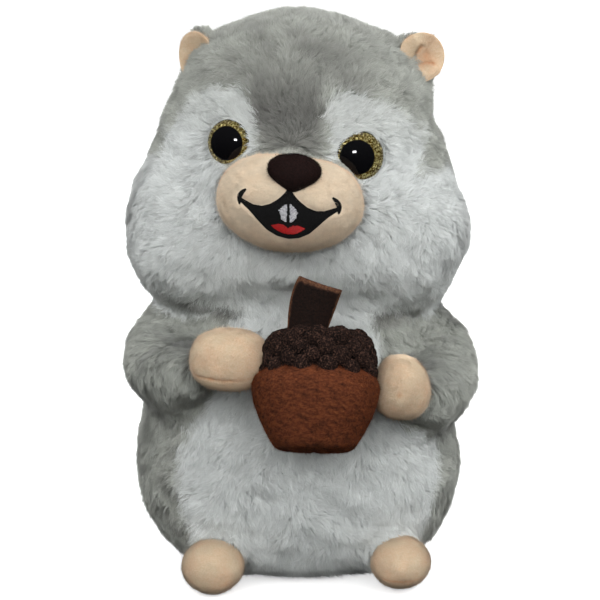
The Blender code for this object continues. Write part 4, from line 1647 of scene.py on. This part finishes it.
# Lights: name, place, size and watts; some are hidden from reflections, others light only those
SOFT_BOXES = (
    ("top_box", (0.0, 0.6, 1.6), (1.4, 1.2), 5.5, ""),
    ("back_box", (0.0, 1.7, 0.9), (1.6, 0.9), 17.0, "visible_glossy"),
    ("front_box", (0.0, -1.5, 0.76), (1.7, 0.9), 24.0, "visible_glossy"),
    ("left_box", (-1.3, -0.4, 0.7), (0.9, 1.2), 7.0, "visible_glossy"),
    ("left_box_glint", (-1.3, -0.4, 0.7), (0.7, 1.0), 1.2, "visible_diffuse"),
    ("right_box", (1.3, -0.4, 0.7), (0.9, 1.2), 12.0, "visible_glossy"),
    ("right_box_glint", (1.3, -0.4, 0.7), (0.7, 1.0), 1.2, "visible_diffuse"),
    ("catch_window", (0.02, -1.15, 0.42), (0.22, 0.12), 10.0, "visible_diffuse"),
)
LIGHT_AIM = (0.0, 0.0, 0.12)


def make_floor():
    bm = bmesh.new()
    bmesh.ops.create_grid(bm, x_segments=1, y_segments=1, size=14.0)
    mesh = bpy.data.meshes.new("floor")
    bm.to_mesh(mesh)
    bm.free()
    floor = link_piece("floor", mesh, "floor")
    floor.visible_diffuse = False
    floor.visible_glossy = False


def light_stage():
    """A white room whose light comes from above, with soft boxes around and a small window."""
    world = bpy.data.worlds.new("studio")
    bpy.context.scene.world = world
    world.use_nodes = True
    tree = Tree(world.node_tree)
    background = tree.nodes["Background"].inputs
    tree.feed(background["Color"], PURE_WHITE)
    way = tree.get("ShaderNodeTexCoord", output="Generated")
    height = tree.get("ShaderNodeSeparateXYZ", {0: way}, "Z")
    room = tree.ranged(height, -0.45, 0.9, ROOM_BELOW, ROOM_ABOVE)
    path = tree.add("ShaderNodeLightPath").outputs
    polished = tree.math("MULTIPLY", room, tree.ranged(path["Is Glossy Ray"], 0.0, 1.0, 1.0, 0.12))
    tree.feed(background["Strength"], tree.math("MAXIMUM", polished, path["Is Camera Ray"]))
    for name, place, (width, height), watts, hidden_from in SOFT_BOXES:
        light = bpy.data.lights.new(name, "AREA")
        light.shape = "RECTANGLE"
        light.size = width
        light.size_y = height
        light.energy = watts
        lamp = link(bpy.data.objects.new(name, light))
        lamp.location = place
        lamp.rotation_euler = (Vector(LIGHT_AIM) - Vector(place)).to_track_quat("-Z", "Y").to_euler()
        if hidden_from:
            setattr(lamp, hidden_from, False)


def make_camera():
    lens = bpy.data.cameras.new("camera")
    lens.sensor_width = SENSOR_WIDTH
    lens.lens = SENSOR_WIDTH * VIEW_AWAY / VIEW_WIDTH
    lens.clip_start = 0.05
    lens.clip_end = 60.0
    camera = link(bpy.data.objects.new("camera", lens))
    back = Vector((0.0, -math.cos(VIEW_DROP), math.sin(VIEW_DROP))) * VIEW_AWAY
    camera.location = Vector(VIEW_TARGET) + back
    camera.rotation_euler = (0.5 * math.pi - VIEW_DROP, 0.0, 0.0)
    bpy.context.scene.camera = camera
    bpy.context.scene.view_settings.view_transform = "Standard"


# ---------------------------------------------------------------- assembly


def ride(piece, nodes=()):
    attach(piece, BODY)
    if nodes:
        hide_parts(*nodes)


make_camera()
make_floor()
light_stage()

skin = grow_skin()
ride(dress_skin(skin), tuple(COAT))
for coat_piece in grow_coat(skin):
    ride(coat_piece)

muzzle, nose = make_muzzle(), make_nose()
ride(muzzle, ("muzzle",))
ride(nose, ("nose",))
stitching = make_mouth(muzzle)
for piece in stitching:
    ride(piece)
nut = make_nut()
ride(nut, ("acorn_nut",))
ride(make_knobs(), ("acorn_cap",))
ride(make_dome())
ride(make_stem(), ("acorn_stem",))

# Short pile: none of it starts under the long pile's backing or inside the nut
nap_rng = np.random.default_rng(NAP_SEED)
nut_tree, _ = search_tree([nut.data])
stitching_tree, _ = search_tree([piece.data for piece in stitching])
nose_tree, _ = search_tree([nose.data])
under = ((skin.tree, 0.0005), (nut_tree, 0.0))
for side, sign in SIDES:
    ride(make_eye(side, sign), (f"eye_{side}",))
    lining, hand, foot = make_lining(side), make_hand(side), make_foot(side)
    ride(lining, (f"ear_lining_{side}",))
    ride(hand, (f"hand_{side}",))
    ride(foot, (f"foot_{side}",))
    for piece, density, length, lie in (
        (lining, 13.0, 1.1, (0.0, 0.0, 1.0)),
        (hand, 11.0, 1.2, (0.0, -0.3, -1.0)),
        (foot, 11.0, 1.2, (0.0, -1.0, -0.4)),
    ):
        ride(grow_nap(piece, "velboa_hair", density, length, lie, nap_rng, under))
ride(grow_nap(muzzle, "muzzle_hair", 13.0, 1.2, "away", nap_rng, under,
              ((stitching_tree, 0.7 * MM), (nose_tree, 0.5 * MM))))
ride(grow_nap(nose, "nose", 14.0, 1.0, "away", nap_rng, under, ((stitching_tree, 0.4 * MM),)))
ride(grow_nap(nut, "nut_hair", 16.0, 0.9, (0.2, 0.0, -1.0), nap_rng, ((skin.tree, 0.0005),), lit=0.6))
